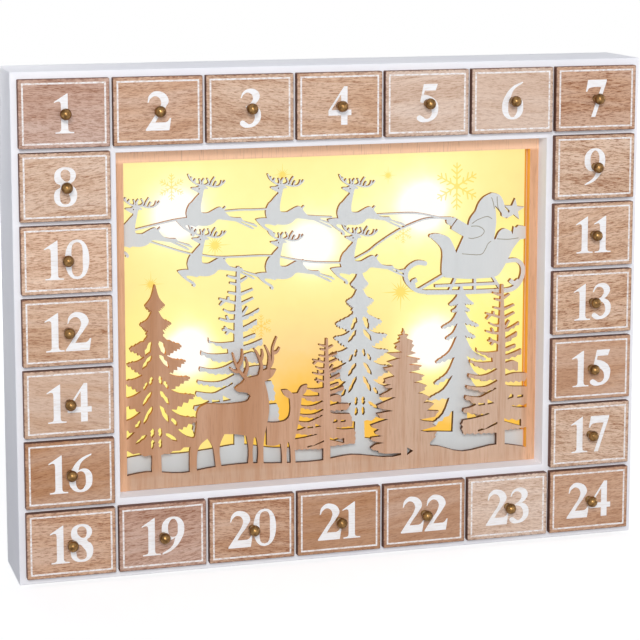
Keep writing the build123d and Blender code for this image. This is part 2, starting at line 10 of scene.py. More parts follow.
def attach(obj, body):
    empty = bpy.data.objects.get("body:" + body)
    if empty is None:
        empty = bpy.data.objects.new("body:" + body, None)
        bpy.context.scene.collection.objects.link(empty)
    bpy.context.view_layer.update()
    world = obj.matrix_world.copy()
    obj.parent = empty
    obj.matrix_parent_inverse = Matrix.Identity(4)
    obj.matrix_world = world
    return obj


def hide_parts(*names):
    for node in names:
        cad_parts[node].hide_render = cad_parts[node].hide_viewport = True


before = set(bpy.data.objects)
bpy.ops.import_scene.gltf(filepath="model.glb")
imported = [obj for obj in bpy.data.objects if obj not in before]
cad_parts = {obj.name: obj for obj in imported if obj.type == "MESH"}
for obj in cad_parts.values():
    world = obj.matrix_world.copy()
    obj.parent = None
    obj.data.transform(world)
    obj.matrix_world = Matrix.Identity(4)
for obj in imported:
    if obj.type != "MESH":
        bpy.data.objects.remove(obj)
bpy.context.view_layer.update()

mm = 0.001
slack = 0.01    # millimetres allowed when an edge is found by its place
print("frame loaded, nodes:", len(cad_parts))

# the case and the ring of drawer holes, in millimetres
calendar = {
    "width": 400.0, "height": 310.0, "depth": 50.0, "board": 6.0, "back": 3.0,
    "columns": 7, "rows": 7,
}
lastColumn, lastRow = calendar["columns"] - 1, calendar["rows"] - 1
cellWidth = (calendar["width"] - (calendar["columns"] + 1) * calendar["board"]) / calendar["columns"]
cellHeight = (calendar["height"] - (calendar["rows"] + 1) * calendar["board"]) / calendar["rows"]
columnPitch = cellWidth + calendar["board"]
rowPitch = cellHeight + calendar["board"]
sceneWidth = (calendar["columns"] - 2) * columnPitch - calendar["board"]
sceneHeight = (calendar["rows"] - 2) * rowPitch - calendar["board"]
sceneFloor = calendar["board"] + rowPitch
frontY = -calendar["depth"] / 2
backY = calendar["depth"] / 2 - calendar["back"]


def columnX(column):
    return -calendar["width"] / 2 + calendar["board"] + cellWidth / 2 + column * columnPitch


def rowZ(row):
    return calendar["board"] + cellHeight / 2 + row * rowPitch


def scenePoint(across, up):
    # shares of the scene opening, from its lower left corner
    return (across - 0.5) * sceneWidth, sceneFloor + up * sceneHeight


# numbers run along the top, down both sides in turn, then along the bottom
drawerCells = [(column, lastRow) for column in range(calendar["columns"])]
for row in range(lastRow - 1, 0, -1):
    drawerCells += [(0, row), (lastColumn, row)]
drawerCells += [(column, 0) for column in range(calendar["columns"])]


# handling of pieces

def clearSelection():
    if bpy.context.mode != "OBJECT":
        bpy.ops.object.mode_set(mode="OBJECT")
    bpy.ops.object.select_all(action="DESELECT")


def pick(*pieces):
    clearSelection()
    for piece in pieces:
        piece.select_set(True)
    bpy.context.view_layer.objects.active = pieces[0]


def editPiece(piece):
    pick(piece)
    bpy.ops.object.mode_set(mode="EDIT")
    bpy.ops.mesh.select_all(action="SELECT")


def leaveEdit():
    bpy.ops.object.mode_set(mode="OBJECT")


def applyPlace():
    bpy.ops.object.transform_apply(location=True, rotation=True, scale=True)


def faceOutward():
    bpy.ops.mesh.select_all(action="SELECT")
    bpy.ops.mesh.normals_make_consistent(inside=False)


def selectWhere(piece, kind, test):
    # in edit mode: only the edges or faces that pass the test
    bpy.ops.mesh.select_mode(type="EDGE" if kind == "edges" else "FACE")
    bpy.ops.mesh.select_all(action="DESELECT")
    mesh = bmesh.from_edit_mesh(piece.data)
    for part in getattr(mesh, kind):
        if test(part):
            part.select_set(True)
    mesh.select_flush_mode()
    bmesh.update_edit_mesh(piece.data)


def runsAlong(edge, axis):
    line = edge.verts[1].co - edge.verts[0].co
    return abs(line[axis]) > 0.99 * line.length


def isUpright(face):
    # the front or the back of a board
    return abs(face.normal.y) > 0.9


def middleOf(edge):
    return (edge.verts[0].co + edge.verts[1].co) / 2


def easeEdges(width, segments):
    bpy.ops.mesh.bevel(offset=width * mm, segments=segments, affect="EDGES")


def addBoard(low, high, edge=0.0):
    # a board between two corners in millimetres, with its edges eased
    clearSelection()
    low, high = Vector(low) * mm, Vector(high) * mm
    bpy.ops.mesh.primitive_cube_add(size=1, location=(low + high) / 2, scale=high - low)
    board = bpy.context.object
    applyPlace()
    if edge:
        editPiece(board)
        easeEdges(edge, 2)
        leaveEdit()
    return board


def namePiece(piece, name):
    piece.name = name
    piece.data.name = name
    return piece


def joinPieces(pieces, name):
    pick(*pieces)
    if len(pieces) > 1:
        bpy.ops.object.join()
    return namePiece(bpy.context.object, name)


def copyPiece(piece, name, move):
    pick(piece)
    bpy.ops.object.duplicate(linked=False)
    made = namePiece(bpy.context.object, name)
    bpy.ops.transform.translate(value=Vector(move) * mm)
    applyPlace()
    return made


def smoothPiece(piece, angle=35):
    pick(piece)
    bpy.ops.object.shade_smooth_by_angle(angle=radians(angle))


def discard(*pieces):
    for piece in pieces:
        bpy.data.objects.remove(piece)


def setPiece(piece, finish, body, slotName, *nodes):
    piece.data.materials.clear()
    piece.data.materials.append(finish)
    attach(piece, body)
    if nodes:
        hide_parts(*nodes)


def dressNode(name, finish):
    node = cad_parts[name]
    if not node.material_slots:
        node.data.materials.append(finish)
    for slot in node.material_slots:
        slot.material = finish


# finishes: small steps that the looks are wired from

def tone(red, green, blue):
    # a screen colour as the linear value that a socket takes
    parts = []
    for part in (red / 255, green / 255, blue / 255):
        parts.append(part / 12.92 if part <= 0.04045 else ((part + 0.055) / 1.055) ** 2.4)
    return (*parts, 1.0)


white, black = (1, 1, 1, 1), (0, 0, 0, 1)


def newFinish(name, **sockets):
    finish = bpy.data.materials.new(name)
    finish.use_nodes = True
    shader = finish.node_tree.nodes["Principled BSDF"]
    for socket, value in sockets.items():
        shader.inputs[socket.replace("_", " ")].default_value = value
    return finish, finish.node_tree, shader


def addNode(tree, kind, inputs=None, **settings):
    node = tree.nodes.new("ShaderNode" + kind)
    for name, value in settings.items():
        setattr(node, name, value)
    for name, value in (inputs or {}).items():
        if isinstance(value, bpy.types.NodeSocket):
            tree.links.new(value, node.inputs[name])
        else:
            node.inputs[name].default_value = value
    return node


def calc(tree, operation, first, second=0.0, clamp=False):
    return addNode(tree, "Math", {0: first, 1: second}, operation=operation, use_clamp=clamp).outputs[0]


def times(tree, first, second):
    return calc(tree, "MULTIPLY", first, second)


def plus(tree, first, second, clamp=False):
    return calc(tree, "ADD", first, second, clamp)


def minus(tree, first, second, clamp=False):
    return calc(tree, "SUBTRACT", first, second, clamp)


def larger(tree, first, second):
    return calc(tree, "MAXIMUM", first, second)


def sizeOf(tree, value):
    return calc(tree, "ABSOLUTE", value)


def joinVectors(tree, operation, first, second, output=0):
    return addNode(tree, "VectorMath", {0: first, 1: second}, operation=operation).outputs[output]


def blendTones(tree, factor, first, second, how="MIX"):
    return addNode(tree, "Mix", {0: factor, 6: first, 7: second}, data_type="RGBA", blend_type=how).outputs[2]


def span(tree, value, low, high, start=0.0, end=1.0):
    ends = {"Value": value, "From Min": low, "From Max": high, "To Min": start, "To Max": end}
    return addNode(tree, "MapRange", ends).outputs[0]


def reachSpan(tree, value, low, high, start=0.0, end=1.0):
    # the same for a length, with its ends in millimetres
    return span(tree, value, low * mm, high * mm, start, end)


def objectCoords(tree):
    return addNode(tree, "TexCoord").outputs["Object"]


def split(tree, vector):
    return addNode(tree, "SeparateXYZ", {0: vector}).outputs


def facingY(tree):
    return split(tree, addNode(tree, "TexCoord").outputs["Normal"])[1]


def attribute(tree, name, output):
    return addNode(tree, "Attribute", attribute_name=name).outputs[output]


def stretched(tree, coords, scale, detail=3.0, roughness=0.55, distortion=0.0):
    # noise drawn out along the axis with the smallest scale, per metre
    mapped = addNode(tree, "Mapping", {"Vector": coords, "Scale": scale}).outputs[0]
    look = {"Vector": mapped, "Scale": 1.0, "Detail": detail, "Roughness": roughness}
    return addNode(tree, "TexNoise", {**look, "Distortion": distortion}).outputs[0]


def evenly(tree, coords, scale, detail, roughness=0.55):
    return stretched(tree, coords, (scale, scale, scale), detail, roughness)


def addBump(tree, shader, height, strength, distance):
    bump = addNode(tree, "Bump", {"Height": height, "Strength": strength, "Distance": distance * mm})
    tree.links.new(bump.outputs[0], shader.inputs["Normal"])


def joinSocket(tree, output, shader, name):
    tree.links.new(output, shader.inputs[name])


def seenDirectly(tree):
    # 1 for what the camera sees, also by way of a gloss or through glass
    path = addNode(tree, "LightPath").outputs
    seen = larger(tree, path["Is Camera Ray"], path["Is Glossy Ray"])
    return larger(tree, seen, path["Is Transmission Ray"])


# each look holds its colours, its noises as scale, detail, roughness and distortion, and its spans
whitePaintLook = {
    "light": tone(250, 249, 251), "dark": tone(243, 242, 246), "fleck": tone(218, 215, 214), "specular": 0.35,
    "cloud": (14, 4), "clouding": (0.35, 0.68), "speck": (1500, 2), "flecks": (0.66, 0.76),
    "fleckShare": 0.35, "brush": ((260, 260, 900), 3), "roughness": (0.3, 0.7, 0.42, 0.58),
    "bump": (0.12, 0.06),
}


def makeWhitePaint():
    look = whitePaintLook
    finish, tree, shader = newFinish("whitePaint", Specular_IOR_Level=look["specular"])
    coords = objectCoords(tree)
    cloud = span(tree, evenly(tree, coords, *look["cloud"]), *look["clouding"])
    fleck = span(tree, evenly(tree, coords, *look["speck"]), *look["flecks"])
    brush = stretched(tree, coords, *look["brush"])
    colour = blendTones(tree, cloud, look["light"], look["dark"])
    colour = blendTones(tree, times(tree, fleck, look["fleckShare"]), colour, look["fleck"])
    joinSocket(tree, colour, shader, "Base Color")
    joinSocket(tree, span(tree, brush, *look["roughness"]), shader, "Roughness")
    addBump(tree, shader, brush, *look["bump"])
    return finish


# how far a drawer front reaches over the edges of its hole, and half of the front, both across and up
frontLap = (1.95, 1.65)
drawerHalf = (cellWidth / 2 + frontLap[0], cellHeight / 2 + frontLap[1])
drawerLook = {
    "tones": {
        "pale": tone(237, 211, 190), "blond": tone(242, 208, 180), "light": tone(225, 191, 163),
        "tan": tone(220, 181, 149), "honey": tone(214, 171, 138), "rosy": tone(206, 168, 147),
        "brown": tone(206, 162, 129), "deep": tone(199, 150, 110),
    },
    "stock": {
        "pale": (5, 6, 23), "blond": (10,), "light": (3, 8, 9, 14, 17), "tan": (4, 11, 12, 13),
        "honey": (2, 15, 18, 24), "rosy": (1, 19), "brown": (7, 20, 22), "deep": (16, 21),
    },
    # how bold the grain of a drawer is, where it isn't 1
    "grain": {7: 1.4, 9: 1.5, 11: 1.2, 13: 1.5, 17: 1.2, 18: 1.2, 20: 1.2, 5: 0.6, 6: 0.5, 14: 0.5, 15: 0.6,
              16: 0.7, 21: 0.55, 22: 0.55, 23: 0.8, 24: 0.8},
    # each drawer's place in the timber lies a step on, and its grain leans by one of these steps
    "step": (0.37, 0.11, 0.23), "tilt": 0.16, "tiltSteps": 11, "tiltJump": 7, "specular": 0.3,
    "shade": tone(176, 142, 116), "middle": 0.36, "burnt": tone(104, 66, 52),
    "tray": tone(228, 202, 170), "trayDark": tone(208, 176, 140), "trayGrain": (0.35, 0.65),
    "noises": {
        "figure": ((9, 40, 62), 3, 0.6, 1.1),         # broad bands of the board
        "streak": ((54, 260, 680), 3, 0.6, 0.3),      # grain lines
        "dash": ((300, 900, 2200), 2, 0.6, 0.3),      # short dark pores
        "speck": ((1300, 1300, 2600), 2, 0.6),        # fine dust of the sanding
        "rough": ((620, 900, 900), 3, 0.65),          # unevenness of the burnt line
    },
    "paler": (0.34, 0.6, 0.14, 0.0),
    "darker": {
        "figure": (0.48, 0.66, 0.0, 0.26), "streak": (0.46, 0.7, 0.0, 0.26), "dash": (0.48, 0.66, 0.0, 0.64),
        "speck": (0.5, 0.7, 0.0, 0.22),
    },
    "scorchAndPaintedLight": (0.36, 0.66, 0.05 * mm, 1.15 * mm), "scorchShare": 0.9,
    "wornReach": (2.2, 1.6), "worn": (0.45, 0.7, 0.0, 0.32),
    "edge": (0.8, 0.3), "edgeSoot": (0.3, 0.6, 1.0, 0.6),
    "roughness": (0.3, 0.7, 0.5, 0.68), "pores": (0.5, 0.7, 0.0, 0.9), "bump": (0.3, 0.1),
}


def toOutline(tree, place):
    # distance of a point on a drawer front from the front's outline
    away = []
    for axis, half in zip((0, 2), drawerHalf):
        away.append(minus(tree, half * mm, sizeOf(tree, place[axis])))
    return calc(tree, "MINIMUM", *away)


def makeDrawerWood():
    look = drawerLook
    finish, tree, shader = newFinish("drawerWood", Specular_IOR_Level=look["specular"])
    place = split(tree, attribute(tree, "boardPlace", "Vector"))
    tilted = times(tree, place[0], attribute(tree, "boardTilt", "Fac"))
    lean = addNode(tree, "CombineXYZ", {2: tilted}).outputs[0]
    coords = joinVectors(tree, "ADD", objectCoords(tree), attribute(tree, "boardShift", "Vector"))
    coords = joinVectors(tree, "ADD", coords, lean)
    noises = {name: stretched(tree, coords, *noise) for name, noise in look["noises"].items()}
    stain = attribute(tree, "boardTone", "Color")
    colour = blendTones(tree, span(tree, noises["figure"], *look["paler"]), stain, white)
    shade = 0.0
    for name, reach in look["darker"].items():
        shade = plus(tree, span(tree, noises[name], *reach), shade)
    bold = times(tree, minus(tree, shade, look["middle"]), attribute(tree, "boardGrain", "Fac"))
    colour = blendTones(tree, plus(tree, bold, look["middle"], True), colour, look["shade"], "MULTIPLY")
    # a scorched line runs along the outline of the front, and its cut edges are burnt
    inward = toOutline(tree, place)
    scorchAndPaintedLight = calc(tree, "DIVIDE", inward, span(tree, noises["rough"], *look["scorchAndPaintedLight"]))
    scorchAndPaintedLight = times(tree, minus(tree, 1.0, scorchAndPaintedLight, True), look["scorchShare"])
    worn = reachSpan(tree, inward, *look["wornReach"])
    worn = times(tree, worn, span(tree, noises["rough"], *look["worn"]))
    edge = span(tree, sizeOf(tree, facingY(tree)), *look["edge"])
    edge = times(tree, edge, span(tree, noises["rough"], *look["edgeSoot"]))
    for burn in (scorchAndPaintedLight, worn, edge):
        colour = blendTones(tree, burn, colour, look["burnt"])
    bare = blendTones(tree, span(tree, noises["streak"], *look["trayGrain"]), look["tray"], look["trayDark"])
    isFront = calc(tree, "LESS_THAN", split(tree, objectCoords(tree))[1], (frontY + 2 * slack) * mm)
    joinSocket(tree, blendTones(tree, isFront, bare, colour), shader, "Base Color")
    joinSocket(tree, span(tree, noises["streak"], *look["roughness"]), shader, "Roughness")
    pores = minus(tree, noises["streak"], span(tree, noises["dash"], *look["pores"]))
    addBump(tree, shader, pores, *look["bump"])
    return finish


markLook = {
    "paint": tone(250, 248, 247), "thin": tone(236, 226, 219), "worn": tone(204, 172, 150),
    "specular": 0.3, "roughness": 0.55, "wear": ((160, 160, 1800), 3), "thinning": (0.5, 0.72),
    "rub": ((520, 520, 900), 3, 0.65), "rubbed": (0.46, 0.64, 0.06, 0.7), "lineReach": 4.0,
    "bump": (0.2, 0.05),
}


def makeMarkPaint():
    # clean on the numbers, rubbed through in places on the border line
    look = markLook
    finish, tree, shader = newFinish("markPaint", Specular_IOR_Level=look["specular"],
                                     Roughness=look["roughness"])
    coords = objectCoords(tree)
    place = split(tree, attribute(tree, "boardPlace", "Vector"))
    onLine = calc(tree, "LESS_THAN", toOutline(tree, place), look["lineReach"] * mm)
    wear = stretched(tree, coords, *look["wear"])
    rubbed = span(tree, stretched(tree, coords, *look["rub"]), *look["rubbed"])
    colour = blendTones(tree, span(tree, wear, *look["thinning"]), look["paint"], look["thin"])
    colour = blendTones(tree, times(tree, onLine, rubbed), colour, look["worn"])
    joinSocket(tree, colour, shader, "Base Color")
    addBump(tree, shader, wear, *look["bump"])
    return finish


brassLook = {
    "bright": tone(149, 115, 72), "dull": tone(94, 68, 40), "patina": (420, 4), "aged": (0.35, 0.65),
    "roughness": (0.24, 0.4), "grit": (2500, 2), "bump": (0.08, 0.02),
}


def makeBrass():
    look = brassLook
    finish, tree, shader = newFinish("antiqueBrass", Metallic=1.0)
    coords = objectCoords(tree)
    patina = evenly(tree, coords, *look["patina"])
    colour = blendTones(tree, span(tree, patina, *look["aged"]), look["bright"], look["dull"])
    joinSocket(tree, colour, shader, "Base Color")
    joinSocket(tree, span(tree, patina, *look["aged"], *look["roughness"]), shader, "Roughness")
    addBump(tree, shader, evenly(tree, coords, *look["grit"]), *look["bump"])
    return finish


# the lamps behind the sheet: place as shares of the scene, and size
lampShares = ((.178, .396, 1), (.15, .798, 1), (.461, .689, 1), (.732, .795, 1), (.746, .363, 1.25))
glowLook = {
    "sheet": tone(84, 70, 40), "sheetDark": tone(74, 60, 34), "specular": 0.2, "roughness": 0.6,
    "steps": ((0.0, tone(246, 190, 72)), (0.2, tone(249, 211, 142)), (0.42, tone(252, 232, 152)),
              (0.62, tone(254, 247, 170)), (0.8, tone(255, 252, 204)), (1.0, tone(255, 255, 250))),
    "foot": -0.26, "head": 0.38,
    "pools": ((52.0, 0.36), (15.0, 0.8)),    # reach in millimetres and strength
    # light thrown back by the walls of the scene: place, reach and strength
    "spills": ((0.90, 0.42, 70.0, 0.40), (0.09, 0.20, 85.0, 0.52), (0.985, 0.62, 42.0, 0.34)),
    "lemon": tone(255, 243, 122), "lemonReach": (0.9, 0.6, 0.0, 0.85),
    "fibre": (90, 4), "fibres": (0.3, 0.7), "uneven": (-0.03, 0.03), "print": (0.96, 0.80, 0.42, 1),
}


def lampGlow(tree, coords):
    # brighter towards the top, with a pool of light before each lamp
    flat = joinVectors(tree, "MULTIPLY", coords, (1, 0, 1))

    def awayFrom(across, up):
        x, z = scenePoint(across, up)
        return joinVectors(tree, "DISTANCE", flat, (x * mm, 0, z * mm), 1)

    height = split(tree, coords)[2]
    glow = reachSpan(tree, height, sceneFloor, sceneFloor + sceneHeight, glowLook["foot"], glowLook["head"])
    for across, up, size in lampShares:
        away = awayFrom(across, up)
        for reach, share in glowLook["pools"]:
            ring = calc(tree, "POWER", calc(tree, "DIVIDE", away, reach * size * mm), 2.0)
            pool = calc(tree, "EXPONENT", times(tree, ring, -1.0))
            glow = plus(tree, glow, times(tree, pool, share))
    spill = 0.0
    for across, up, reach, share in glowLook["spills"]:
        patch = reachSpan(tree, awayFrom(across, up), reach, 0.0)
        glow = plus(tree, glow, times(tree, patch, share))
        spill = larger(tree, patch, spill)
    return glow, spill


panelLook = {
    "bright": tone(255, 208, 172), "amber": tone(228, 170, 124), "ash": tone(208, 184, 162),
    "wall": tone(214, 140, 40), "wallShine": (2.1, 0.95, 0.1, 1), "specular": 0.3,
    # scales across, into and along the grain, as multiples of the panel's own and per metre
    "figure": ((0.12, 20, 5), 3, 0.55, 0.4), "streak": ((1, 300, 24), 3, 0.6), "fine": ((3, 600, 90), 2),
    "figures": (0.35, 0.65, 0.0, 0.36), "streaks": (0.45, 0.68, 0.0, 0.36), "pores": (0.55, 0.7, 0.0, 0.3),
    "roughness": (0.3, 0.7, 0.5, 0.66), "bump": (0.2, 0.08),
    # lengths in millimetres: from the sides and the head, across the scene, and above its floor
    "border": (5, 10), "warmer": (60, -110, 0.22, 0.62), "paintedShadeSides": (150, 50, 0.0, 0.34),
    "paintedShadeFoot": (14, 5, 0.0, 0.3), "ashenRight": (10, 60), "ashenFoot": (14, 7), "head": (9, 7),
    "walls": (7, 6), "slivers": (5.8, 5.4), "amberShare": 0.6,
    "edge": (0.75, 0.4), "lit": (0.05, 0.85), "soot": ((300, 900, 300), 2), "sooty": (0.35, 0.65, -0.2, 0.2),
}
# each finish's last tone is painted lamp light, the orange that its cut edges show near the lamps; burnt is
# the real burn
panelTones = {
    "frontVeneer": {"light": tone(232, 192, 164), "dark": tone(180, 126, 86), "pore": tone(160, 112, 82),
                    "burnt": tone(84, 48, 26), "scorchAndPaintedLight": tone(222, 140, 40),
                    "grain": 420, "glow": 0.16, "rim": 0.95, "fade": 0.5, "sliver": 0.0},
    "greyPanel": {"light": tone(222, 224, 222), "dark": tone(212, 214, 212), "pore": tone(212, 214, 212),
                  "burnt": tone(82, 52, 26), "scorchAndPaintedLight": tone(178, 112, 40),
                  "grain": 300, "glow": 0.1, "rim": 0.0, "fade": 0.0, "sliver": 0.8},
    "engraving": {"light": tone(156, 150, 128), "dark": tone(136, 126, 100), "pore": tone(120, 108, 84),
                  "burnt": tone(130, 118, 92), "scorchAndPaintedLight": tone(150, 140, 112),
                  "grain": 300, "glow": 0.1, "rim": 0.0, "fade": 0.0, "sliver": 0.0},
    # the spacers are raw wood; their strong orange and faint glow are painted lamp light
    "bareStripPaintedGlow": {"light": tone(222, 172, 104), "dark": tone(200, 146, 78), "pore": tone(160, 106, 54),
                  "burnt": tone(196, 126, 46), "scorchAndPaintedLight": tone(232, 166, 52),
                  "grain": 260, "glow": 0.14, "rim": 0.0, "fade": 0.0, "sliver": 0.0},
}


def makePanelFinish(name):
    # veneer or paint on the faces, laser burns on the cut edges, which catch the light of the lamps: that
    # light is painted on them as an orange colour and a faint glow
    look, own = panelLook, panelTones[name]
    finish, tree, shader = newFinish(name, Specular_IOR_Level=look["specular"], Emission_Strength=own["glow"])
    coords = objectCoords(tree)

    def grained(kind):
        (across, into, along), *rest = look[kind]
        return stretched(tree, coords, (own["grain"] * across, into, along), *rest)

    streak = grained("streak")
    place = split(tree, coords)
    x, z = place[0], place[2]
    up = minus(tree, z, sceneFloor * mm)
    toSide = minus(tree, sceneWidth / 2 * mm, sizeOf(tree, x))
    toHead = minus(tree, (sceneFloor + sceneHeight) * mm, z)
    # the border is paler than the figures, and the figures are warmer to the left
    within = reachSpan(tree, calc(tree, "MINIMUM", toSide, toHead), *look["border"])
    onBorder = minus(tree, 1.0, within)
    inner = times(tree, within, reachSpan(tree, x, *look["warmer"]))
    # painted shade: the border darkens towards the bottom of the scene, and the whole panel near its foot
    paintedShade = times(tree, onBorder, reachSpan(tree, up, *look["paintedShadeSides"]))
    paintedShade = larger(tree, paintedShade, reachSpan(tree, up, *look["paintedShadeFoot"]))
    figure = plus(tree, span(tree, grained("figure"), *look["figures"]), plus(tree, inner, paintedShade), True)
    colour = blendTones(tree, figure, own["light"], own["dark"])
    ashen = times(tree, within, reachSpan(tree, x, *look["ashenRight"]))
    ashen = larger(tree, ashen, reachSpan(tree, up, *look["ashenFoot"]))
    colour = blendTones(tree, times(tree, ashen, own["fade"]), colour, look["ash"])
    # painted light: the border is tinted amber, as if lit by the glow of the lamps
    colour = blendTones(tree, times(tree, onBorder, look["amberShare"] * own["rim"]), colour, look["amber"])
    colour = blendTones(tree, span(tree, streak, *look["streaks"]), colour, own["dark"])
    # painted light: the border below the head is lightened, against the shade that the case casts on it
    colour = blendTones(tree, reachSpan(tree, toHead, *look["head"], 0.0, own["rim"]), colour, look["bright"])
    colour = blendTones(tree, span(tree, grained("fine"), *look["pores"]), colour, own["pore"])
    edge = span(tree, sizeOf(tree, facingY(tree)), *look["edge"])
    soot = span(tree, stretched(tree, coords, *look["soot"]), *look["sooty"])
    lit = plus(tree, span(tree, lampGlow(tree, coords)[0], *look["lit"]), soot, True)
    # painted light: near the lamps the burnt cut edges take the orange of lamp-lit wood
    colour = blendTones(tree, edge, colour, blendTones(tree, lit, own["burnt"], own["scorchAndPaintedLight"]))
    # the walls at the sides stand full in the light
    wall = times(tree, edge, reachSpan(tree, toSide, *look["walls"]))
    wall = larger(tree, wall, reachSpan(tree, toSide, *look["slivers"], 0.0, own["sliver"]))
    joinSocket(tree, blendTones(tree, wall, colour, look["wall"]), shader, "Base Color")
    # painted light: the lit cut edges and the side walls glow faintly
    shine = blendTones(tree, times(tree, edge, lit), black, own["scorchAndPaintedLight"])
    joinSocket(tree, blendTones(tree, wall, shine, look["wallShine"]), shader, "Emission Color")
    joinSocket(tree, span(tree, streak, *look["roughness"]), shader, "Roughness")
    addBump(tree, shader, streak, *look["bump"])
    return finish


def makeGlowSheet(name, tint):
    # lit from behind by the lamps; a print on it only tints the light
    look = glowLook
    finish, tree, shader = newFinish(name, Roughness=look["roughness"], Specular_IOR_Level=look["specular"])
    coords = objectCoords(tree)
    fibre = evenly(tree, coords, *look["fibre"])
    glow, spill = lampGlow(tree, coords)
    glow = plus(tree, glow, span(tree, fibre, *look["fibres"], *look["uneven"]))
    ramp = addNode(tree, "ValToRGB", {0: glow})
    steps = ramp.color_ramp.elements
    while len(steps) < len(look["steps"]):
        steps.new(0.5)
    for step, (place, colour) in zip(steps, look["steps"]):
        step.position = place
        step.color = colour
    sheet = blendTones(tree, span(tree, fibre, *look["fibres"]), look["sheet"], look["sheetDark"])
    joinSocket(tree, sheet, shader, "Base Color")
    lemon = times(tree, spill, span(tree, glow, *look["lemonReach"]))
    colour = blendTones(tree, lemon, ramp.outputs[0], look["lemon"])
    joinSocket(tree, blendTones(tree, 1.0, colour, tint, "MULTIPLY"), shader, "Emission Color")
    joinSocket(tree, calc(tree, "LESS_THAN", facingY(tree), 0.5), shader, "Emission Strength")
    return finish


plasticLook = {
    "specular": 0.45, "texture": (1600, 2), "cloud": (40, 3), "clouding": (0.35, 0.65),
    "gloss": (0.3, 0.7), "glossier": 0.06, "duller": 0.08, "bump": (0.25, 0.04),
}
plasticTones = {
    "lampLens": (tone(250, 240, 206), tone(242, 226, 180), 0.25),
    "wireJacket": (tone(58, 57, 56), tone(44, 43, 43), 0.5),
    "boxPlastic": (tone(52, 52, 54), tone(42, 42, 44), 0.48),
    "switchPlastic": (tone(86, 86, 88), tone(72, 72, 74), 0.42),
}


def makePlastic(name):
    look = plasticLook
    light, dark, roughness = plasticTones[name]
    finish, tree, shader = newFinish(name, Specular_IOR_Level=look["specular"])
    coords = objectCoords(tree)
    texture = evenly(tree, coords, *look["texture"])
    cloud = span(tree, evenly(tree, coords, *look["cloud"]), *look["clouding"])
    joinSocket(tree, blendTones(tree, cloud, light, dark), shader, "Base Color")
    ends = (roughness - look["glossier"], roughness + look["duller"])
    joinSocket(tree, span(tree, texture, *look["gloss"], *ends), shader, "Roughness")
    addBump(tree, shader, texture, *look["bump"])
    return finish


backLook = {
    "board": tone(204, 170, 130), "fibre": tone(184, 148, 108), "dark": tone(140, 104, 72),
    "edge": tone(150, 110, 76), "specular": 0.25,
    "cloud": (22, 5, 0.6), "clouding": (0.38, 0.66, 0.0, 0.3),
    "strand": ((240, 500, 900), 3, 0.65, 0.8), "strands": (0.42, 0.66, 0.0, 0.6),
    "speck": (1500, 2, 0.6), "specks": (0.58, 0.7, 0.0, 0.4),
    "roughness": (0.3, 0.7, 0.55, 0.75), "bump": (0.2, 0.06),
}


def makeBackBoard():
    # bare fibreboard, darker at its cut edges
    look = backLook
    finish, tree, shader = newFinish("backBoard", Specular_IOR_Level=look["specular"])
    coords = objectCoords(tree)
    cloud = span(tree, evenly(tree, coords, *look["cloud"]), *look["clouding"])
    strand = stretched(tree, coords, *look["strand"])
    speck = span(tree, evenly(tree, coords, *look["speck"]), *look["specks"])
    mixed = plus(tree, cloud, span(tree, strand, *look["strands"]), True)
    colour = blendTones(tree, mixed, look["board"], look["fibre"])
    colour = blendTones(tree, speck, colour, look["dark"])
    bare = calc(tree, "LESS_THAN", sizeOf(tree, facingY(tree)), 0.5)
    joinSocket(tree, blendTones(tree, bare, colour, look["edge"]), shader, "Base Color")
    joinSocket(tree, span(tree, strand, *look["roughness"]), shader, "Roughness")
    addBump(tree, shader, strand, *look["bump"])
    return finish


whitePaint = makeWhitePaint()
drawerWood = makeDrawerWood()
markPaint = makeMarkPaint()
antiqueBrass = makeBrass()
frontVeneer, greyPanel, engraving, bareStripPaintedGlow = (makePanelFinish(name) for name in panelTones)
litSheet = makeGlowSheet("litSheet", white)
litPrint = makeGlowSheet("litPrint", glowLook["print"])
lampLens, wireJacket, boxPlastic, switchPlastic = (makePlastic(name) for name in plasticTones)
backBoard = makeBackBoard()
print("finishes made")


# the case

caseLook = {"outerEdge": 0.7, "innerEdge": 0.4, "sharp": 1.0}


def makeOuterCase():
    # four boards under one coat of paint, so no seam shows
    half, high = calendar["width"] / 2, calendar["height"]
    case = addBoard((-half, frontY, 0), (half, calendar["depth"] / 2, high))
    editPiece(case)
    selectWhere(case, "faces", isUpright)
    bpy.ops.mesh.inset(thickness=calendar["board"] * mm)
    bpy.ops.mesh.bridge_edge_loops()

    def isOuter(edge):
        middle = middleOf(edge)
        return abs(middle.x) > (half - slack) * mm or not slack * mm <= middle.z <= (high - slack) * mm

    selectWhere(case, "edges", isOuter)
    easeEdges(caseLook["outerEdge"], 3)
    faceOutward()
    leaveEdit()
    piece = joinPieces([case], "outerCase")
    smoothPiece(piece)
    setPiece(piece, whitePaint, "case", "white_board", "outer_case")


